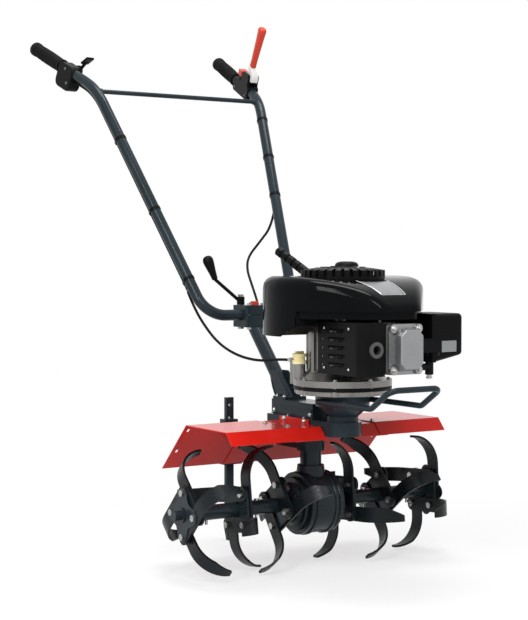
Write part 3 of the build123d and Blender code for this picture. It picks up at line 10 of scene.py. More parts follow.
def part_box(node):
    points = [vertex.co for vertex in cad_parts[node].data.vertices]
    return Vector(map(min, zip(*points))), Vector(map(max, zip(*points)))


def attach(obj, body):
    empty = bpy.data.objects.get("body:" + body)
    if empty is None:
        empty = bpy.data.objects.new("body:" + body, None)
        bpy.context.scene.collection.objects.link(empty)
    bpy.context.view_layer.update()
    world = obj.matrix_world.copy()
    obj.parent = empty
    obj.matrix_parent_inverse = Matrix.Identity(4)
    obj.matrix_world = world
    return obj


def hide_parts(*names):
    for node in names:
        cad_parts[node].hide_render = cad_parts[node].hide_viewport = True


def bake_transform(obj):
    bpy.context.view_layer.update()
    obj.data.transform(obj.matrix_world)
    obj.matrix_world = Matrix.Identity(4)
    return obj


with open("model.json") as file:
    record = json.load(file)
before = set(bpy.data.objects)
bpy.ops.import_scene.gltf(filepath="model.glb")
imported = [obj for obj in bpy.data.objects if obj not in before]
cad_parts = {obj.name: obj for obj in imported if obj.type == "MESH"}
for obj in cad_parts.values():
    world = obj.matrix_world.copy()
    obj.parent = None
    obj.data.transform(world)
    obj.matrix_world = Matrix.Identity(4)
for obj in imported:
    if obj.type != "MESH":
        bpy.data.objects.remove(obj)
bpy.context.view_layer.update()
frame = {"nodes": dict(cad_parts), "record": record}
nodes = frame["nodes"]
scene = bpy.context.scene
joints = {joint["name"]: joint for joint in frame["record"]["behaviour"]["joints"]}

# Places are in mm from the ground under the tine axle; the frame's origin is under the machine's middle
AXLE_Y = joints["rotor_spin"]["pos_m"][1]
MM = 0.001
SIDES = (-1, 1)
UP = (0, 0, 1)
DOWN = (0, 0, -1)
FORWARD = (0, -1, 0)
BACKWARD = (0, 1, 0)
RIGHT = (-1, 0, 0)
HALF_STEP = 0.5


def at(x, y, z):
    return Vector((x * MM, y * MM + AXLE_Y, z * MM))


def turns(count, shift=0.0):
    """Angles of equal steps round a circle, moved on by a share of one step."""
    return [2 * math.pi * (k + shift) / count for k in range(count)]


# Camera, at the photograph's viewing angle
CAMERA_PLACE = (-1821.3, -2640.0, 659.3)
CAMERA_TURN = 32.8
CAMERA_DIP = 1.93
CAMERA_LENS = 86.55
CAMERA_SENSOR = 36.0
camera_data = bpy.data.cameras.new("camera")
camera_data.lens = CAMERA_LENS
camera_data.sensor_width = CAMERA_SENSOR
camera_data.sensor_fit = "AUTO"
camera = bpy.data.objects.new("camera", camera_data)
camera.location = at(*CAMERA_PLACE)
camera.rotation_euler = (math.radians(90 - CAMERA_DIP), 0, math.radians(-CAMERA_TURN))
scene.collection.objects.link(camera)
scene.camera = camera

# Materials: values that all of them share
RAMP_START = 0.35
RAMP_END = 0.65
DRIFT_SCALE = 9.0
DRIFT_DETAIL = 3.0
GRAIN_DETAIL = 6.0
COAT_ROUGHNESS = 0.06
CAST_BUMP = 0.35


def new_material(name):
    material = bpy.data.materials.new(name)
    material.use_nodes = True
    tree = material.node_tree
    return material, tree, tree.nodes["Principled BSDF"]


def place_coordinates(tree, stretch=(1, 1, 1)):
    place = tree.nodes.new("ShaderNodeTexCoord")
    mapping = tree.nodes.new("ShaderNodeMapping")
    mapping.inputs["Scale"].default_value = stretch
    tree.links.new(place.outputs["Object"], mapping.inputs["Vector"])
    return mapping.outputs["Vector"]


def add_noise(tree, where, scale, detail):
    noise = tree.nodes.new("ShaderNodeTexNoise")
    noise.inputs["Scale"].default_value = scale
    noise.inputs["Detail"].default_value = detail
    tree.links.new(where, noise.inputs["Vector"])
    return noise.outputs["Fac"]


def add_ramp(tree, source, low, high):
    ramp = tree.nodes.new("ShaderNodeValToRGB")
    ramp.color_ramp.elements[0].position = RAMP_START
    ramp.color_ramp.elements[1].position = RAMP_END
    ramp.color_ramp.elements[0].color = low
    ramp.color_ramp.elements[1].color = high
    tree.links.new(source, ramp.inputs["Fac"])
    return ramp.outputs["Color"]


def add_math(tree, operation, first, second):
    node = tree.nodes.new("ShaderNodeMath")
    node.operation = operation
    for socket, value in zip(node.inputs, (first, second)):
        if isinstance(value, (int, float)):
            socket.default_value = value
        else:
            tree.links.new(value, socket)
    return node.outputs["Value"]


def add_bump(tree, shader, height, strength, depth):
    """Each bump is laid over the one before it."""
    bump = tree.nodes.new("ShaderNodeBump")
    bump.inputs["Strength"].default_value = strength
    bump.inputs["Distance"].default_value = depth
    tree.links.new(height, bump.inputs["Height"])
    for link in shader.inputs["Normal"].links:
        tree.links.new(link.from_socket, bump.inputs["Normal"])
    tree.links.new(bump.outputs["Normal"], shader.inputs["Normal"])


def grey(value):
    return (value, value, value, 1)


def surface(name, colour, vary=0.15, rough=0.4, rough_vary=0.06, grain=400, bump=0.15, depth=0.0002,
            metallic=0.0, specular=0.5, coat=0.0, stretch=(1, 1, 1), cells=0.0):
    """Colour drifts slowly, a fine grain sets roughness and bump, and cells give a cast skin."""
    material, tree, shader = new_material(name)
    low = tuple(c * (1 - vary) for c in colour) + (1,)
    high = tuple(min(1.0, c * (1 + vary)) for c in colour) + (1,)
    drift = add_noise(tree, place_coordinates(tree), DRIFT_SCALE, DRIFT_DETAIL)
    tree.links.new(add_ramp(tree, drift, low, high), shader.inputs["Base Color"])
    fine = add_noise(tree, place_coordinates(tree, stretch), grain, GRAIN_DETAIL)
    rough_colour = add_ramp(tree, fine, grey(rough - rough_vary), grey(rough + rough_vary))
    tree.links.new(rough_colour, shader.inputs["Roughness"])
    shader.inputs["Metallic"].default_value = metallic
    shader.inputs["Specular IOR Level"].default_value = specular
    shader.inputs["Coat Weight"].default_value = coat
    shader.inputs["Coat Roughness"].default_value = COAT_ROUGHNESS
    add_bump(tree, shader, fine, bump, depth)
    if cells:
        cast = tree.nodes.new("ShaderNodeTexVoronoi")
        cast.inputs["Scale"].default_value = cells
        tree.links.new(place_coordinates(tree), cast.inputs["Vector"])
        add_bump(tree, shader, cast.outputs["Distance"], CAST_BUMP, depth)
    return material


def add_ribs(material, axis, pitch, strength, depth):
    """Ridges across one direction, alike on both sides of the machine's middle."""
    tree = material.node_tree
    shader = tree.nodes["Principled BSDF"]
    fold = tree.nodes.new("ShaderNodeVectorMath")
    fold.operation = "ABSOLUTE"
    tree.links.new(place_coordinates(tree), fold.inputs[0])
    along = tree.nodes.new("ShaderNodeVectorMath")
    along.operation = "DOT_PRODUCT"
    tree.links.new(fold.outputs["Vector"], along.inputs[0])
    along.inputs[1].default_value = Vector(axis).normalized()
    phase = add_math(tree, "MULTIPLY", along.outputs["Value"], 2 * math.pi / pitch)
    add_bump(tree, shader, add_math(tree, "SINE", phase, 0.0), strength, depth)


# Paints
frame_paint = surface("frame_paint", (0.015, 0.024, 0.030), rough=0.2, rough_vary=0.02, grain=500,
                      bump=0.02, depth=0.00005, specular=0.14)
gear_paint = surface("gear_paint", (0.012, 0.019, 0.023), vary=0.2, rough=0.26, grain=300,
                     bump=0.05, depth=0.0001, specular=0.2)
tine_paint = surface("tine_paint", (0.005, 0.0075, 0.0095), vary=0.3, rough=0.34, rough_vary=0.1, grain=240,
                     bump=0.25, specular=0.17)
guard_paint = surface("guard_paint", (0.55, 0.014, 0.009), vary=0.06, rough=0.17, rough_vary=0.03, grain=330,
                      bump=0.03, depth=0.0001, specular=0.13, coat=0.03)
engine_paint = surface("engine_paint", (0.0035, 0.0036, 0.004), vary=0.3, rough=0.36, rough_vary=0.08,
                       grain=500, bump=0.2, specular=0.08)
cowl_gloss = surface("cowl_gloss", (0.002, 0.0024, 0.003), vary=0.2, rough=0.1, rough_vary=0.02, grain=120,
                     bump=0.02, depth=0.00005, specular=0.05, coat=0.02)
pale_line = surface("pale_line", (0.62, 0.62, 0.62), vary=0.05, grain=600, bump=0.05)

# Bare metals
steel = surface("steel", (0.42, 0.42, 0.41), rough=0.3, rough_vary=0.1, grain=500, bump=0.1, metallic=1.0)
iron = surface("iron", (0.11, 0.11, 0.112), rough=0.42, rough_vary=0.1, grain=300, bump=0.3, metallic=0.7)
alloy = surface("alloy", (0.22, 0.215, 0.205), rough=0.33, rough_vary=0.08, grain=600, bump=0.2,
                depth=0.0001, metallic=0.9, cells=450)
cover_alloy = surface("cover_alloy", (0.3, 0.305, 0.31), vary=0.08, rough=0.3, grain=1500, bump=0.1,
                      depth=0.0001, metallic=0.9, cells=1800)
brushed_plate = surface("brushed_plate", (0.28, 0.29, 0.3), vary=0.08, rough=0.34, rough_vary=0.1, grain=60,
                        bump=0.1, metallic=0.85, stretch=(1, 40, 40))

# Plastics, rubbers and rope
black_plastic = surface("black_plastic", (0.004, 0.0042, 0.0046), vary=0.25, rough=0.38, rough_vary=0.08,
                        grain=1100, bump=0.25, specular=0.07)
rubber = surface("rubber", (0.004, 0.004, 0.0045), vary=0.3, rough=0.5, rough_vary=0.08, grain=800,
                 bump=0.3, specular=0.09)
grip_rubber = surface("grip_rubber", (0.005, 0.005, 0.0055), vary=0.3, rough=0.55, rough_vary=0.08,
                      grain=900, bump=0.3, specular=0.09)
red_plastic = surface("red_plastic", (0.55, 0.045, 0.022), vary=0.06, rough=0.34, rough_vary=0.03, grain=700,
                      bump=0.03, depth=0.0001, specular=0.25)
white_plastic = surface("white_plastic", (0.7, 0.7, 0.68), vary=0.04, rough_vary=0.04, grain=600,
                        bump=0.03, depth=0.0001)
yellow_plastic = surface("yellow_plastic", (0.95, 0.84, 0.42), vary=0.06, rough=0.42, grain=600, bump=0.1)
rope_cloth = surface("rope_cloth", (0.02, 0.02, 0.02), vary=0.3, rough=0.8, rough_vary=0.1, grain=900,
                     bump=0.6)
ROPE_LAY = (1.0, 2.0, 2.0)
ROPE_PITCH = 0.003
ROPE_BUMP = 0.8
ROPE_DEPTH = 0.0008
add_ribs(rope_cloth, ROPE_LAY, ROPE_PITCH, ROPE_BUMP, ROPE_DEPTH)

# Each node takes its slot's material, apart from the few with a finish of their own
by_slot = {
    "frame_paint": frame_paint,
    "tine_paint": tine_paint,
    "guard_paint": guard_paint,
    "steel": steel,
    "iron": iron,
    "alloy": alloy,
    "engine_paint": engine_paint,
    "cowl": cowl_gloss,
    "black_plastic": black_plastic,
    "rubber": rubber,
    "red_plastic": red_plastic,
    "white_plastic": white_plastic,
    "yellow_plastic": yellow_plastic,
    "rope": rope_cloth,
}
by_node = {
    "handle_grips": grip_rubber,
    "valve_cover": cover_alloy,
    "carburettor": engine_paint,
    "exhaust_outlet": iron,
    "clamp_lever": engine_paint,
    "gearbox_halves": gear_paint,
    "bearing_covers": gear_paint,
    "tine_sleeves": gear_paint,
    "rotor_shaft": gear_paint,
}
for part in frame["record"]["subparts"]:
    node = nodes[part["node"]]
    node.data.materials.clear()
    node.data.materials.append(by_node.get(part["node"], by_slot[part["material_slot"]]))

# Free cables: smooth tubes that curve between the machine and the handlebar
CABLE_DIAMETER = 0.006
CURVE_ORDER = 3
CURVE_STEPS = 10
TUBE_STEPS = 4

# Cable routes, from the handlebar down; beyond its still place a cable keeps to the machine
CLUTCH_CABLE = [
    (178, 414, 788),
    (169, 413, 742),
    (144, 430, 702),
    (113, 434, 666),
    (86, 395, 634),
    (67, 344, 602),
    (54, 294, 554),
    (44, 262, 502),
    (36, 230, 446),
    (28, 200, 398),
    (22, 176, 358),
    (20, 144, 336),
    (20, 114, 336),
]
THROTTLE_CABLE = [
    (-138, 291, 588),
    (-131, 278, 555),
    (-118, 252, 512),
    (-108, 205, 472),
    (-98, 140, 448),
    (-86, 68, 440),
    (-74, 8, 448),
    (-74, -39, 448),
]


def smooth_line(name, points, bevel):
    curve = bpy.data.curves.new(name, "CURVE")
    curve.dimensions = "3D"
    curve.resolution_u = CURVE_STEPS
    curve.bevel_depth = bevel
    curve.bevel_resolution = TUBE_STEPS
    spline = curve.splines.new("NURBS")
    spline.points.add(len(points) - 1)
    for spot, point in zip(spline.points, points):
        spot.co = (*point, 1)
    spline.order_u = CURVE_ORDER
    spline.use_endpoint_u = True
    return bpy.data.objects.new(name, curve)


def as_mesh(curve_object, name):
    scene.collection.objects.link(curve_object)
    bpy.context.view_layer.update()
    graph = bpy.context.evaluated_depsgraph_get()
    mesh = bpy.data.meshes.new_from_object(curve_object.evaluated_get(graph))
    bpy.data.objects.remove(curve_object)
    mesh.name = name
    return mesh


def line_piece(name, points, radius, material):
    """A smooth round line as a mesh object."""
    mesh = as_mesh(smooth_line(name, points, radius), name)
    mesh.materials.append(material)
    mesh.shade_smooth()
    piece = bpy.data.objects.new(name, mesh)
    scene.collection.objects.link(piece)
    return piece


def free_cable(node, route):
    points = [at(*point) for point in route]
    line = as_mesh(smooth_line(node + "_line", points, 0.0), node + "_line")
    cable = line_piece(node + "_tube", points, CABLE_DIAMETER / 2, rubber)
    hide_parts(node)
    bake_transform(cable)


free_cable("clutch_cable", CLUTCH_CABLE)
free_cable("throttle_cable", THROTTLE_CABLE)

# Mesh helpers for the small pieces, with sizes in mm
SHARP_ANGLE = 35
PRISM_EDGE_SHARE = 0.3
PRISM_EDGE_MOST = 0.3
RING_CHAMFER = 1.0
CORNER_STEPS = 5


def make_piece(name, form, material, body):
    bmesh.ops.recalc_face_normals(form, faces=form.faces)
    mesh = bpy.data.meshes.new(name)
    form.to_mesh(mesh)
    form.free()
    mesh.materials.append(material)
    mesh.shade_smooth()
    mesh.set_sharp_from_angle(angle=math.radians(SHARP_ANGLE))
    piece = bpy.data.objects.new(name, mesh)
    scene.collection.objects.link(piece)
    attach(piece, body)
    return piece


def facing(place, way):
    turn = Vector(way).to_track_quat("Z", "Y").to_matrix().to_4x4()
    return Matrix.Translation(place) @ turn @ Matrix.Scale(MM, 4)


def skin(form, rings, hollow=False):
    """Faces between neighbouring rings of points, with flat ends unless the last ring meets the first."""
    layers = [[form.verts.new(point) for point in ring] for ring in rings]
    pairs = list(zip(layers, layers[1:]))
    if hollow:
        pairs.append((layers[-1], layers[0]))
    for lower, upper in pairs:
        for k in range(len(lower)):
            n = (k + 1) % len(lower)
            form.faces.new((lower[k], lower[n], upper[n], upper[k]))
    if not hollow:
        form.faces.new(layers[0])
        form.faces.new(layers[-1])


def turned(form, outline, count, base, hollow=False):
    """A solid of revolution from (radius, height) points; six sides make a hexagon, hollow makes a ring."""
    rings = []
    for radius, height in outline:
        ring = []
        for turn in turns(count):
            ring.append(base @ Vector((radius * math.cos(turn), radius * math.sin(turn), height)))
        rings.append(ring)
    skin(form, rings, hollow)


def chamfered_ring(inner, outer, start, end):
    """The outline of a flat ring with both outer edges broken."""
    return [
        (inner, start),
        (outer - RING_CHAMFER, start),
        (outer, start + RING_CHAMFER),
        (outer, end - RING_CHAMFER),
        (outer - RING_CHAMFER, end),
        (inner, end),
    ]


def prism(form, outline, base, depth):
    """A flat outline raised to a depth, with its upper edge drawn in a little."""
    middle = sum((Vector(p) for p in outline), Vector((0, 0))) / len(outline)
    edge = min(PRISM_EDGE_MOST, depth * PRISM_EDGE_SHARE)
    rings = []
    for height, inset in ((0, 0), (depth * (1 - PRISM_EDGE_SHARE), 0), (depth, edge)):
        ring = []
        for p in outline:
            flat = Vector(p)
            flat += (middle - flat).normalized() * inset
            ring.append(base @ Vector((flat.x, flat.y, height)))
        rings.append(ring)
    skin(form, rings)


def rounded_rectangle(half_width, half_height, radius):
    outline = []
    for quarter, (sx, sy) in enumerate(((1, 1), (-1, 1), (-1, -1), (1, -1))):
        for k in range(CORNER_STEPS + 1):
            turn = math.pi / 2 * (quarter + k / CORNER_STEPS)
            x = sx * (half_width - radius) + radius * math.cos(turn)
            y = sy * (half_height - radius) + radius * math.sin(turn)
            outline.append((x, y))
    return outline


# Bolts and screws: outlines in shares of the size, sunk a little into the face under them
HEAD_SINK = 0.1
HEXAGON = 6
WASHER_SIDES = 24
THREAD_SIDES = 12
SCREW_SIDES = 20
WASHER = [(1.8, 0.2), (1.65, 0.32)]
BOLT_HEAD = [(1.12, 0.0), (1.12, 1.0), (0.95, 1.16)]
BOLT_THREAD = [(0.5, 0.0), (0.5, 1.3), (0.4, 1.4)]
SCREW_HEAD = [(1.0, 0.3), (0.8, 0.55), (0.45, 0.68)]
SCREW_SOCKET = [(0.28, 0.0), (0.28, 0.72), (0.22, 0.76)]


def sized(outline, size):
    return [(radius * size, height * size) for radius, height in outline]


def sunk(outline, size):
    points = sized(outline, size)
    return [(points[0][0], -HEAD_SINK)] + points


def add_bolt(form, place, way, size):
    base = facing(place, way)
    turned(form, sunk(WASHER, size), WASHER_SIDES, base)
    turned(form, sized(BOLT_HEAD, size), HEXAGON, base)
    turned(form, sized(BOLT_THREAD, size), THREAD_SIDES, base)


def add_screw(form, place, way, size):
    base = facing(place, way)
    turned(form, sunk(SCREW_HEAD, size), SCREW_SIDES, base)
    turned(form, sized(SCREW_SOCKET, size), HEXAGON, base)


def bolt_set(name, spots, size, body, maker=add_bolt, material=steel):
    form = bmesh.new()
    for place, way in spots:
        maker(form, place, way, size)
    return make_piece(name, form, material, body)


def upward_spots(x, row, z):
    return [(at(side * x, y, z), UP) for side in SIDES for y in row]


def outward_spots(x, row, z):
    return [(at(side * x, y, z), (side, 0, 0)) for side in SIDES for y in row]


# Valve cover: a bolt on each corner boss
VALVE_COVER_BOLT = 4.2
VALVE_COVER_BOSS_IN = 9.0
VALVE_COVER_BOSS_STAND = 12.0
low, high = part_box("valve_cover")
boss_y = high[1] - VALVE_COVER_BOSS_STAND * MM
cover_spots = []
for x in (low[0] + VALVE_COVER_BOSS_IN * MM, high[0] - VALVE_COVER_BOSS_IN * MM):
    for z in (low[2] + VALVE_COVER_BOSS_IN * MM, high[2] - VALVE_COVER_BOSS_IN * MM):
        cover_spots.append((Vector((x, boss_y, z)), FORWARD))
bolt_set("valve_cover_bolts", cover_spots, VALVE_COVER_BOLT, "chassis")

# Crankcase flange: a ring of bolts, with one left out beside the oil filler
ENGINE_Y = -117.0
FLANGE_BOLT = 3.4
FLANGE_BOLT_RING = 96.5
FLANGE_BOLT_COUNT = 8
FILLER_BOLT = 3
FLANGE_TOP = 412.0
flange_spots = []
for k, turn in enumerate(turns(FLANGE_BOLT_COUNT)):
    x = FLANGE_BOLT_RING * math.cos(turn)
    y = ENGINE_Y + FLANGE_BOLT_RING * math.sin(turn)
    if k != FILLER_BOLT:
        flange_spots.append((at(x, y, FLANGE_TOP), UP))
bolt_set("crankcase_bolts", flange_spots, FLANGE_BOLT, "chassis")

# Black ring in the gap between sump and crankcase: painted shade, a solid dark ring standing for the shadow
# in that gap
GAP_SHADE_INNER = 92.0
GAP_SHADE_OUTER = 102.8
GAP_SHADE_HALF = 4.0
GAP_SHADE_DROP = 17.5
RING_SIDES = 96
gap_shade_ring = bmesh.new()
gap_shade_outline = chamfered_ring(GAP_SHADE_INNER, GAP_SHADE_OUTER, -GAP_SHADE_HALF, GAP_SHADE_HALF)
gap_shade_base = facing(at(0, ENGINE_Y, FLANGE_TOP - GAP_SHADE_DROP), UP)
turned(gap_shade_ring, gap_shade_outline, RING_SIDES, gap_shade_base, hollow=True)
# The dark ring is painted shadow in the sump gap, made in the rubber material
make_piece("sump_gap_shade", gap_shade_ring, rubber, "chassis")

# Guard: bolts along the seams on top and through the tabs at the drive case
GUARD_BOLT = 3.4
GUARD_TOP = 313.0
GUARD_SEAM_X = 109.0
GUARD_SEAM_ROW = (-74, 12)
GUARD_TAB_X = 44.0
GUARD_TAB_ROW = (-38, 38)
GUARD_TAB_RISE = 4.0
guard_spots = upward_spots(GUARD_SEAM_X, GUARD_SEAM_ROW, GUARD_TOP)
guard_spots += outward_spots(GUARD_TAB_X, GUARD_TAB_ROW, GUARD_TOP + GUARD_TAB_RISE)
bolt_set("guard_bolts", guard_spots, GUARD_BOLT, "chassis")

# Drive case: bolts down through the lid's rim and into the riser's sides
CASE_BOLT = 2.8
LID_TOP = 322.0
LID_RIM_X = 36.5
LID_RIM_ROW = (-28, 34, 96)
RISER_X = 30.0
RISER_ROW = (-40, 98)
RISER_RISE = 8.0
case_spots = upward_spots(LID_RIM_X, LID_RIM_ROW, LID_TOP)
case_spots += outward_spots(RISER_X, RISER_ROW, LID_TOP + RISER_RISE)
bolt_set("case_bolts", case_spots, CASE_BOLT, "chassis")

# Handle stem: bolts on its foot plate
STEM_BOLT = 2.8
STEM_PLATE_TOP = 360.0
STEM_BOLT_X = 22.5
STEM_BOLT_ROW = (70, 98)
bolt_set("stem_bolts", upward_spots(STEM_BOLT_X, STEM_BOLT_ROW, STEM_PLATE_TOP), STEM_BOLT, "chassis")

# Gearbox: bolts in both end covers
AXLE_Z = 137.0
GEARBOX_BOLT = 3.0
GEARBOX_COVER_X = 58.0
GEARBOX_BOLT_RING = 32.0
GEARBOX_BOLT_COUNT = 6
gear_spots = []
for side in SIDES:
    for turn in turns(GEARBOX_BOLT_COUNT, HALF_STEP):
        y = GEARBOX_BOLT_RING * math.cos(turn)
        z = AXLE_Z + GEARBOX_BOLT_RING * math.sin(turn)
        gear_spots.append((at(side * GEARBOX_COVER_X, y, z), (side, 0, 0)))
bolt_set("gearbox_bolts", gear_spots, GEARBOX_BOLT, "chassis")

# Gearbox: stepped flanges round both ends; inner and outer radius, then start and end from the middle
GEARBOX_FLANGES = [
    (60.0, 69.0, 20.0, 28.0),
    (50.0, 67.0, 32.0, 40.5),
    (40.0, 57.0, 43.0, 51.0),
]
flanges = bmesh.new()
for side in SIDES:
    base = facing(at(0, 0, AXLE_Z), (side, 0, 0))
    for inner, outer, start, end in GEARBOX_FLANGES:
        turned(flanges, chamfered_ring(inner, outer, start, end), RING_SIDES, base, hollow=True)
make_piece("gearbox_flanges", flanges, gear_paint, "chassis")

# Outer hubs: a lobed plate under the bolt heads at each end of the rotor
HUB_PLATE_X = 318.0
HUB_PLATE_DEPTH = 2.0
HUB_PLATE_RADIUS = 46.0
HUB_PLATE_LOBE = 11.0
HUB_PLATE_LOBES = 4
HUB_PLATE_STEPS = 96
hub_outline = []
for turn in turns(HUB_PLATE_STEPS):
    radius = HUB_PLATE_RADIUS + HUB_PLATE_LOBE * math.cos(HUB_PLATE_LOBES * turn)
    hub_outline.append((radius * math.cos(turn), radius * math.sin(turn)))
hub_plates = bmesh.new()
for side in SIDES:
    base = facing(at(side * HUB_PLATE_X, 0, AXLE_Z), (side, 0, 0))
    prism(hub_plates, hub_outline, base, HUB_PLATE_DEPTH)
make_piece("hub_plates", hub_plates, gear_paint, "rotor")

# Gearbox column: bolts under its upper flange
COLUMN_BOLT = 2.6
COLUMN_BOLT_RING = 30.0
COLUMN_BOLT_COUNT = 4
COLUMN_FLANGE_BOTTOM = 283.0
column_spots = []
for turn in turns(COLUMN_BOLT_COUNT, HALF_STEP):
    x = COLUMN_BOLT_RING * math.cos(turn)
    y = COLUMN_BOLT_RING * math.sin(turn)
    column_spots.append((at(x, y, COLUMN_FLANGE_BOTTOM), DOWN))
bolt_set("column_bolts", column_spots, COLUMN_BOLT, "chassis")

# Upper handle tubes: where each leaves its bend, and the direction in which it runs to the grip
HANDLE_BEND = (229.0, 566.0, 1065.0)
HANDLE_RUN = (37.0, 256.0, 120.0)


def mirrored(side, point):
    return Vector((side * point[0], point[1], point[2]))


def upper_place(side, along, across, up):
    """A place beside an upper handle tube, and the direction across the tube."""
    run = mirrored(side, HANDLE_RUN).normalized()
    rise = (Vector(UP) - run * run.z).normalized()
    aside = rise.cross(run)
    place = mirrored(side, HANDLE_BEND) + run * along + aside * across + rise * up
    return at(*place), aside


# Grips: rings round each, with a swell in the middle; the section is out from the grip's skin and along it
GRIP_FIRST = 168.0
GRIP_PITCH = 5.0
GRIP_RINGS = 22
GRIP_RADIUS = 15.5
GRIP_SWELL = 1.0
GRIP_SIDES = 32
GRIP_SECTION = [
    (-1.0, -1.5),
    (0.4, -1.2),
    (0.9, 0.0),
    (0.4, 1.2),
    (-1.0, 1.5),
]
grip_rings = bmesh.new()
for side in SIDES:
    for k in range(GRIP_RINGS):
        middle = upper_place(side, GRIP_FIRST + GRIP_PITCH * k, 0, 0)[0]
        radius = GRIP_RADIUS + GRIP_SWELL * math.sin(math.pi * k / (GRIP_RINGS - 1))
        ring_outline = [(radius + out, along) for out, along in GRIP_SECTION]
        turned(grip_rings, ring_outline, GRIP_SIDES, facing(middle, mirrored(side, HANDLE_RUN)), hollow=True)
make_piece("grip_rings", grip_rings, grip_rubber, "handle")

# Crossbar: a weld bead at each end
CROSSBAR_END = (214.5, 569.0, 1060.0)
WELD_SIDES = 24
WELD_OUTLINE = [
    (4.5, -3.0),
    (7.2, -2.0),
    (7.8, 0.0),
    (6.6, 2.2),
    (4.5, 3.0),
]
welds = bmesh.new()
for side in SIDES:
    weld_base = facing(at(*mirrored(side, CROSSBAR_END)), (-side, 0, 0))
    turned(welds, WELD_OUTLINE, WELD_SIDES, weld_base, hollow=True)
make_piece("crossbar_welds", welds, frame_paint, "handle")

# Control housings: screws in their right-hand faces, each placed along the tube and up from it
THROTTLE_SCREW = 3.6
THROTTLE_FACE = 16.0
THROTTLE_SCREWS = ((104, -24), (122, 6))
PERCH_SCREW = 3.2
PERCH_FACE = 15.0
PERCH_SCREWS = ((58, -8), (126, -8))
throttle_spots = [upper_place(-1, along, THROTTLE_FACE, up) for along, up in THROTTLE_SCREWS]
bolt_set("throttle_screws", throttle_spots, THROTTLE_SCREW, "handle", add_screw, iron)
perch_spots = [upper_place(1, along, PERCH_FACE, up) for along, up in PERCH_SCREWS]
bolt_set("perch_screws", perch_spots, PERCH_SCREW, "handle", add_screw, iron)

# Clutch lever: slim at its cam and flared towards a rounded end
CLUTCH_PIVOT = (76.02, 36.0)
CLUTCH_LEAN = math.radians(100)
LEVER_SIDES = 28
LEVER_ROUNDNESS = 0.7

# Stations along the lever: distance from the pivot, half the width and half the depth
LEVER_STATIONS = [
    (29, 8.0, 7.5),
    (46, 8.0, 7.5),
    (70, 8.4, 8.0),
    (95, 9.4, 8.5),
    (115, 10.6, 9.0),
    (126, 11.4, 9.4),
    (130, 12.0, 9.8),
    (134, 11.6, 9.4),
    (137, 9.6, 7.8),
    (138, 6.5, 5.2),
]


def squarish(value):
    """A sine or cosine pushed outwards, which turns an oval into a rounded box."""
    return math.copysign(abs(value) ** LEVER_ROUNDNESS, value)


lever_rings = []
for reach, half_width, half_depth in LEVER_STATIONS:
    ring = []
    for turn in turns(LEVER_SIDES):
        wide = half_width * squarish(math.cos(turn))
        deep = half_depth * squarish(math.sin(turn))
        along = CLUTCH_PIVOT[0] + reach * math.cos(CLUTCH_LEAN) + wide * math.sin(CLUTCH_LEAN)
        up = CLUTCH_PIVOT[1] + reach * math.sin(CLUTCH_LEAN) - wide * math.cos(CLUTCH_LEAN)
        ring.append(upper_place(1, along, deep, up)[0])
    lever_rings.append(ring)
lever_form = bmesh.new()
skin(lever_form, lever_rings)
lever = make_piece("clutch_lever_grip", lever_form, red_plastic, "clutch")
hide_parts("clutch_lever")

# Clamp lever: a pear-shaped knob
KNOB_FOOT = (-70.0, 284.0, 615.0)
KNOB_RUN = (-14.0, 12.0, 48.0)
KNOB_SIDES = 32
KNOB_OUTLINE = [
    (5.6, -1),
    (6.6, 0),
    (7.4, 8),
    (8.6, 18),
    (10.4, 29),
    (12.0, 39),
    (12.4, 45),
    (11.4, 50),
    (8.6, 54),
    (4.6, 56),
    (1.5, 56.5),
]
knob_form = bmesh.new()
turned(knob_form, KNOB_OUTLINE, KNOB_SIDES, facing(at(*KNOB_FOOT), KNOB_RUN))
knob = make_piece("clamp_knob", knob_form, black_plastic, "clamp_handle")
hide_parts("clamp_lever_knob")

# Bar clamp: a red plug between its front bolts
PLUG_Y = 227.0
PLUG_HALF_WIDTH = 8.0
PLUG_HALF_LENGTH = 6.0
PLUG_CORNER = 3.0
PLUG_HEIGHT = 9.0
low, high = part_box("bar_clamp")
plug_base = facing(at(0, PLUG_Y, high[2] / MM), UP)
plug = bmesh.new()
prism(plug, rounded_rectangle(PLUG_HALF_WIDTH, PLUG_HALF_LENGTH, PLUG_CORNER), plug_base, PLUG_HEIGHT)
make_piece("clamp_plug", plug, red_plastic, "chassis")

# Heat shield: a pressed hood over each slot, drawn out of the face and up, with its depth running back
LOUVRE_COUNT = 5
LOUVRE_PITCH = 17.0
LOUVRE_HALF = 24.0
LOUVRE_Y = -230.5
HOOD_TURN = Matrix(((-1, 0, 0, 0), (0, 0, 1, 0), (0, 1, 0, 0), (0, 0, 0, 1)))
HOOD_RADIUS = 4.5
HOOD_STEPS = 6
HOOD_RISE = 5.5
HOOD_LIP = 1.2
HOOD_FOOT = 1.6
HOOD_SINK = 0.4
low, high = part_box("heat_shield")
shield_face = low[0] / MM
shield_mid = (low[2] + high[2]) / 2 / MM
hood = []
for k in range(HOOD_STEPS + 1):
    turn = math.pi / 2 * k / HOOD_STEPS
    hood.append((HOOD_RADIUS * math.sin(turn), HOOD_RADIUS * math.cos(turn) - HOOD_RADIUS))
hood += [(HOOD_RADIUS - HOOD_LIP, -HOOD_RADIUS), (-HOOD_SINK, -HOOD_FOOT), (-HOOD_SINK, 0)]
hoods = bmesh.new()
for k in range(LOUVRE_COUNT):
    z = shield_mid + LOUVRE_PITCH * (k - (LOUVRE_COUNT - 1) / 2)
    start = at(shield_face, LOUVRE_Y - LOUVRE_HALF, z + HOOD_RISE)
    hood_base = Matrix.Translation(start) @ HOOD_TURN @ Matrix.Scale(MM, 4)
    prism(hoods, hood, hood_base, 2 * LOUVRE_HALF)
make_piece("shield_hoods", hoods, engine_paint, "chassis")

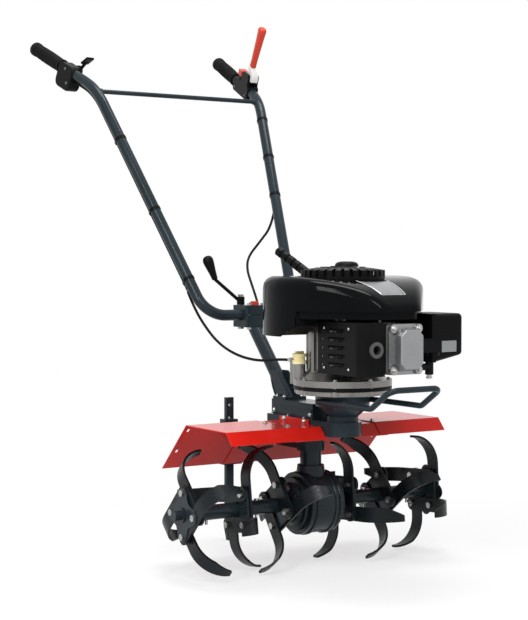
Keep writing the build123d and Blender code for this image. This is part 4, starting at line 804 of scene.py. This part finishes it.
# Heat shield: a screw near each corner
SHIELD_SCREW = 3.0
SHIELD_SCREW_ROW = (-190, -273)
SHIELD_SCREW_RISE = 40.0
shield_spots = []
for y in SHIELD_SCREW_ROW:
    for side in SIDES:
        shield_spots.append((at(shield_face, y, shield_mid + side * SHIELD_SCREW_RISE), RIGHT))
bolt_set("shield_screws", shield_spots, SHIELD_SCREW, "chassis", add_screw)

# Cowl nose: a blank brushed inlay in the recess, edged by a pale line
PANEL_REAR_HALF = 39.0
PANEL_FRONT_HALF = 30.5
PANEL_FRONT_Y = -289.5
PANEL_REAR_RING = 107.0
INLAY_STEPS = 18
INLAY_INSET = 1.5
INLAY_LIFT = 0.3
INLAY_SHEET = 0.5
NOSE_LINE_STEPS = 12
NOSE_LINE_LIFT = 0.5
NOSE_LINE_RADIUS = 0.7
ABOVE_ALL = 900.0
graph = bpy.context.evaluated_depsgraph_get()
cowl_tree = BVHTree.FromObject(nodes["engine_cowl"], graph)


def on_top(tree, x, y, lift=0.0):
    """The uppermost place of a surface, lifted along its normal."""
    hit = tree.ray_cast(at(x, y, ABOVE_ALL), Vector(DOWN))
    return hit[0] + hit[1] * lift * MM


def panel_place(across, down, inset, lift):
    """A place on the nose panel: across from -1 to 1, and down from its rear arc to its front edge."""
    half = PANEL_REAR_HALF + (PANEL_FRONT_HALF - PANEL_REAR_HALF) * down - inset
    x = half * across
    rear_y = ENGINE_Y - math.sqrt(PANEL_REAR_RING ** 2 - x ** 2) - inset
    return on_top(cowl_tree, x, rear_y + (PANEL_FRONT_Y + inset - rear_y) * down, lift)


inlay = bmesh.new()
rows = []
for j in range(INLAY_STEPS + 1):
    row = []
    for i in range(INLAY_STEPS + 1):
        place = panel_place(2 * i / INLAY_STEPS - 1, j / INLAY_STEPS, INLAY_INSET, INLAY_LIFT)
        row.append(inlay.verts.new(place))
    rows.append(row)
for upper, lower in zip(rows, rows[1:]):
    for i in range(INLAY_STEPS):
        inlay.faces.new((upper[i], upper[i + 1], lower[i + 1], lower[i]))
inlay_sheet = make_piece("nose_inlay", inlay, brushed_plate, "chassis")
thickness = inlay_sheet.modifiers.new("sheet", "SOLIDIFY")
thickness.thickness = INLAY_SHEET * MM
steps = [k / NOSE_LINE_STEPS for k in range(NOSE_LINE_STEPS + 1)]
edge = [panel_place(-1, t, 0.0, NOSE_LINE_LIFT) for t in steps[:-1]]
edge += [panel_place(2 * t - 1, 1, 0.0, NOSE_LINE_LIFT) for t in steps]
edge += [panel_place(1, 1 - t, 0.0, NOSE_LINE_LIFT) for t in steps[1:]]
edge_piece = line_piece("nose_edge", edge, NOSE_LINE_RADIUS * MM, pale_line)
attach(edge_piece, "chassis")

# Recoil cover: two raised rings on its dome
DOME_RINGS = (24.0, 46.0)
DOME_SIDES = 72
RIDGE_SECTION = [
    (-2.2, -1.0),
    (-1.4, 1.2),
    (1.4, 1.2),
    (2.2, -1.0),
]
recoil_tree = BVHTree.FromObject(nodes["recoil_cover"], graph)
dome = bmesh.new()
for radius in DOME_RINGS:
    crest = on_top(recoil_tree, radius, ENGINE_Y)
    crest.x = 0
    ridge = [(radius + out, height) for out, height in RIDGE_SECTION]
    turned(dome, ridge, DOME_SIDES, facing(crest, UP), hollow=True)
make_piece("recoil_rings", dome, black_plastic, "chassis")

# Recoil cover: three screws, one of them at the front
RECOIL_SCREW = 3.0
RECOIL_SCREW_RING = 54.0
RECOIL_SCREW_COUNT = 3
RECOIL_SCREW_SHIFT = -0.75
recoil_spots = []
for turn in turns(RECOIL_SCREW_COUNT, RECOIL_SCREW_SHIFT):
    x = RECOIL_SCREW_RING * math.cos(turn)
    y = ENGINE_Y + RECOIL_SCREW_RING * math.sin(turn)
    recoil_spots.append((on_top(recoil_tree, x, y), UP))
bolt_set("recoil_screws", recoil_spots, RECOIL_SCREW, "chassis", add_screw)

# Air filter: a bare plate on its front face
PLATE_X = 139.0
PLATE_Z = 483.0
PLATE_HALF_WIDTH = 21.0
PLATE_HALF_HEIGHT = 11.5
PLATE_CORNER = 2.0
PLATE_SHEET = 0.8
PLATE_GAP = 0.1
low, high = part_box("air_filter")
plate_place = at(PLATE_X, 0, PLATE_Z)
plate_place.y = low[1] - PLATE_GAP * MM
plate_outline = rounded_rectangle(PLATE_HALF_WIDTH, PLATE_HALF_HEIGHT, PLATE_CORNER)
bare_plate = bmesh.new()
prism(bare_plate, plate_outline, facing(plate_place, FORWARD), PLATE_SHEET)
make_piece("filter_plate", bare_plate, brushed_plate, "chassis")

# Spark plug boot: a steel terminal under its hanging end
TERMINAL_SIDES = 20
TERMINAL_OUTLINE = [
    (5.0, -1.0),
    (5.0, 4.0),
    (6.4, 4.5),
    (6.4, 7.0),
    (5.6, 8.0),
]
low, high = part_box("spark_plug_boot")
boot_radius = (high[1] - low[1]) / 2
boot_foot = Vector((high[0] - boot_radius, (low[1] + high[1]) / 2, low[2]))
terminal = bmesh.new()
turned(terminal, TERMINAL_OUTLINE, TERMINAL_SIDES, facing(boot_foot, DOWN))
make_piece("plug_terminal", terminal, steel, "chassis")

# Fuel cap: ribs round its skirt
FUEL_RIBS = 22
RIB_DROP = 27.0
RIB_SIDES = 8
RIB_OUTLINE = [(1.5, 0.0), (1.5, 13.0), (0.7, 14.5)]
low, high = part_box("fuel_cap")
cap_radius = (high[0] - low[0]) / 2
ribs = bmesh.new()
for turn in turns(FUEL_RIBS):
    x = (low[0] + high[0]) / 2 + cap_radius * math.cos(turn)
    y = (low[1] + high[1]) / 2 + cap_radius * math.sin(turn)
    turned(ribs, RIB_OUTLINE, RIB_SIDES, facing(Vector((x, y, high[2] - RIB_DROP * MM)), UP))
make_piece("fuel_cap_ribs", ribs, black_plastic, "fuel_lid")

# Oil cap: a finger bar on top
BAR_HALF_LENGTH = 11.0
BAR_HALF_WIDTH = 3.0
BAR_CORNER = 2.5
BAR_HEIGHT = 5.0
low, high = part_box("oil_cap")
bar_place = Vector(((low[0] + high[0]) / 2, (low[1] + high[1]) / 2, high[2]))
bar_outline = rounded_rectangle(BAR_HALF_LENGTH, BAR_HALF_WIDTH, BAR_CORNER)
finger_bar = bmesh.new()
prism(finger_bar, bar_outline, facing(bar_place, UP), BAR_HEIGHT)
make_piece("oil_cap_bar", finger_bar, yellow_plastic, "oil_lid")

# Cable ends: ferrules with a lock nut where each cable meets the machine
FERRULE_SIDES = 20
FERRULE_OUTLINE = [(4.0, -2.0), (4.0, 12.0), (3.2, 14.0)]
LOCK_NUT_OUTLINE = [(6.0, 1.0), (6.0, 5.0), (5.4, 5.6)]
ferrules = bmesh.new()
for route in (CLUTCH_CABLE, THROTTLE_CABLE):
    base = facing(at(*route[-1]), BACKWARD)
    turned(ferrules, FERRULE_OUTLINE, FERRULE_SIDES, base)
    turned(ferrules, LOCK_NUT_OUTLINE, HEXAGON, base)
make_piece("cable_ferrules", ferrules, steel, "chassis")


# Stage: what the camera, a reflection or a clear surface sees is set apart from what lights the machine
def seen_rays(tree):
    path = tree.nodes.new("ShaderNodeLightPath")
    direct = add_math(tree, "MAXIMUM", path.outputs["Is Camera Ray"], path.outputs["Is Glossy Ray"])
    return add_math(tree, "MAXIMUM", direct, path.outputs["Is Transmission Ray"])


def mix_shaders(tree, factor, first, second, output):
    mix = tree.nodes.new("ShaderNodeMixShader")
    tree.links.new(factor, mix.inputs["Fac"])
    tree.links.new(first, mix.inputs[1])
    tree.links.new(second, mix.inputs[2])
    tree.links.new(mix.outputs["Shader"], output.inputs["Surface"])


# Pale floor: it takes the shadow near the machine and goes over into plain white further out
FLOOR_SIZE = 60.0
FLOOR_GREY = 0.9
FLOOR_ROUGHNESS = 0.9
FLOOR_SPECULAR = 0.1
FLOOR_NEAR = 0.4
FLOOR_FAR = 1.1
FLOOR_GLOW = 0.64
bpy.ops.mesh.primitive_plane_add(size=FLOOR_SIZE, location=(0, AXLE_Y, 0))
floor = bpy.context.object
floor.name = "floor"
floor_material, floor_tree, floor_shader = new_material("floor")
floor_shader.inputs["Base Color"].default_value = grey(FLOOR_GREY)
floor_shader.inputs["Roughness"].default_value = FLOOR_ROUGHNESS
floor_shader.inputs["Specular IOR Level"].default_value = FLOOR_SPECULAR
distance = floor_tree.nodes.new("ShaderNodeVectorMath")
distance.operation = "LENGTH"
floor_tree.links.new(place_coordinates(floor_tree), distance.inputs[0])
fade = floor_tree.nodes.new("ShaderNodeMapRange")
fade.inputs["From Min"].default_value = FLOOR_NEAR
fade.inputs["From Max"].default_value = FLOOR_FAR
fade.inputs["To Min"].default_value = FLOOR_GLOW
fade.inputs["To Max"].default_value = 1.0
floor_tree.links.new(distance.outputs["Value"], fade.inputs["Value"])
glow = floor_tree.nodes.new("ShaderNodeEmission")
share = add_math(floor_tree, "MULTIPLY", seen_rays(floor_tree), fade.outputs["Result"])
mix_shaders(floor_tree, share, floor_shader.outputs["BSDF"], glow.outputs["Emission"],
            floor_tree.nodes["Material Output"])
floor.data.materials.append(floor_material)

# White background, with a softer light from all round
WORLD_LIGHT = 0.45
world = bpy.data.worlds.new("studio")
scene.world = world
world.use_nodes = True
world_tree = world.node_tree
soft = world_tree.nodes["Background"]
soft.inputs["Color"].default_value = grey(1)
soft.inputs["Strength"].default_value = WORLD_LIGHT
white = world_tree.nodes.new("ShaderNodeBackground")
white.inputs["Color"].default_value = grey(1)
white.inputs["Strength"].default_value = 1.0
mix_shaders(world_tree, seen_rays(world_tree), soft.outputs["Background"], white.outputs["Background"],
            world_tree.nodes["World Output"])


# Studio lamps: place, target and size in metres, power in watts
def soft_light(name, place, target, size, power):
    data = bpy.data.lights.new(name, "AREA")
    data.energy = power
    data.shape = "RECTANGLE"
    data.size = size[0]
    data.size_y = size[1]
    lamp = bpy.data.objects.new(name, data)
    lamp.location = place
    lamp.rotation_euler = (Vector(target) - Vector(place)).to_track_quat("-Z", "Y").to_euler()
    scene.collection.objects.link(lamp)


soft_light("key", place=(-2.1, -1.4, 2.0), target=(0, -0.1, 0.5), size=(0.6, 1.7), power=46)
soft_light("top", place=(0.2, -0.1, 2.9), target=(0, 0, 0.4), size=(0.8, 1.3), power=42)
soft_light("front", place=(-0.9, -2.0, 2.0), target=(0, -0.4, 0.5), size=(0.16, 0.9), power=14)
scene.view_settings.view_transform = "Standard"
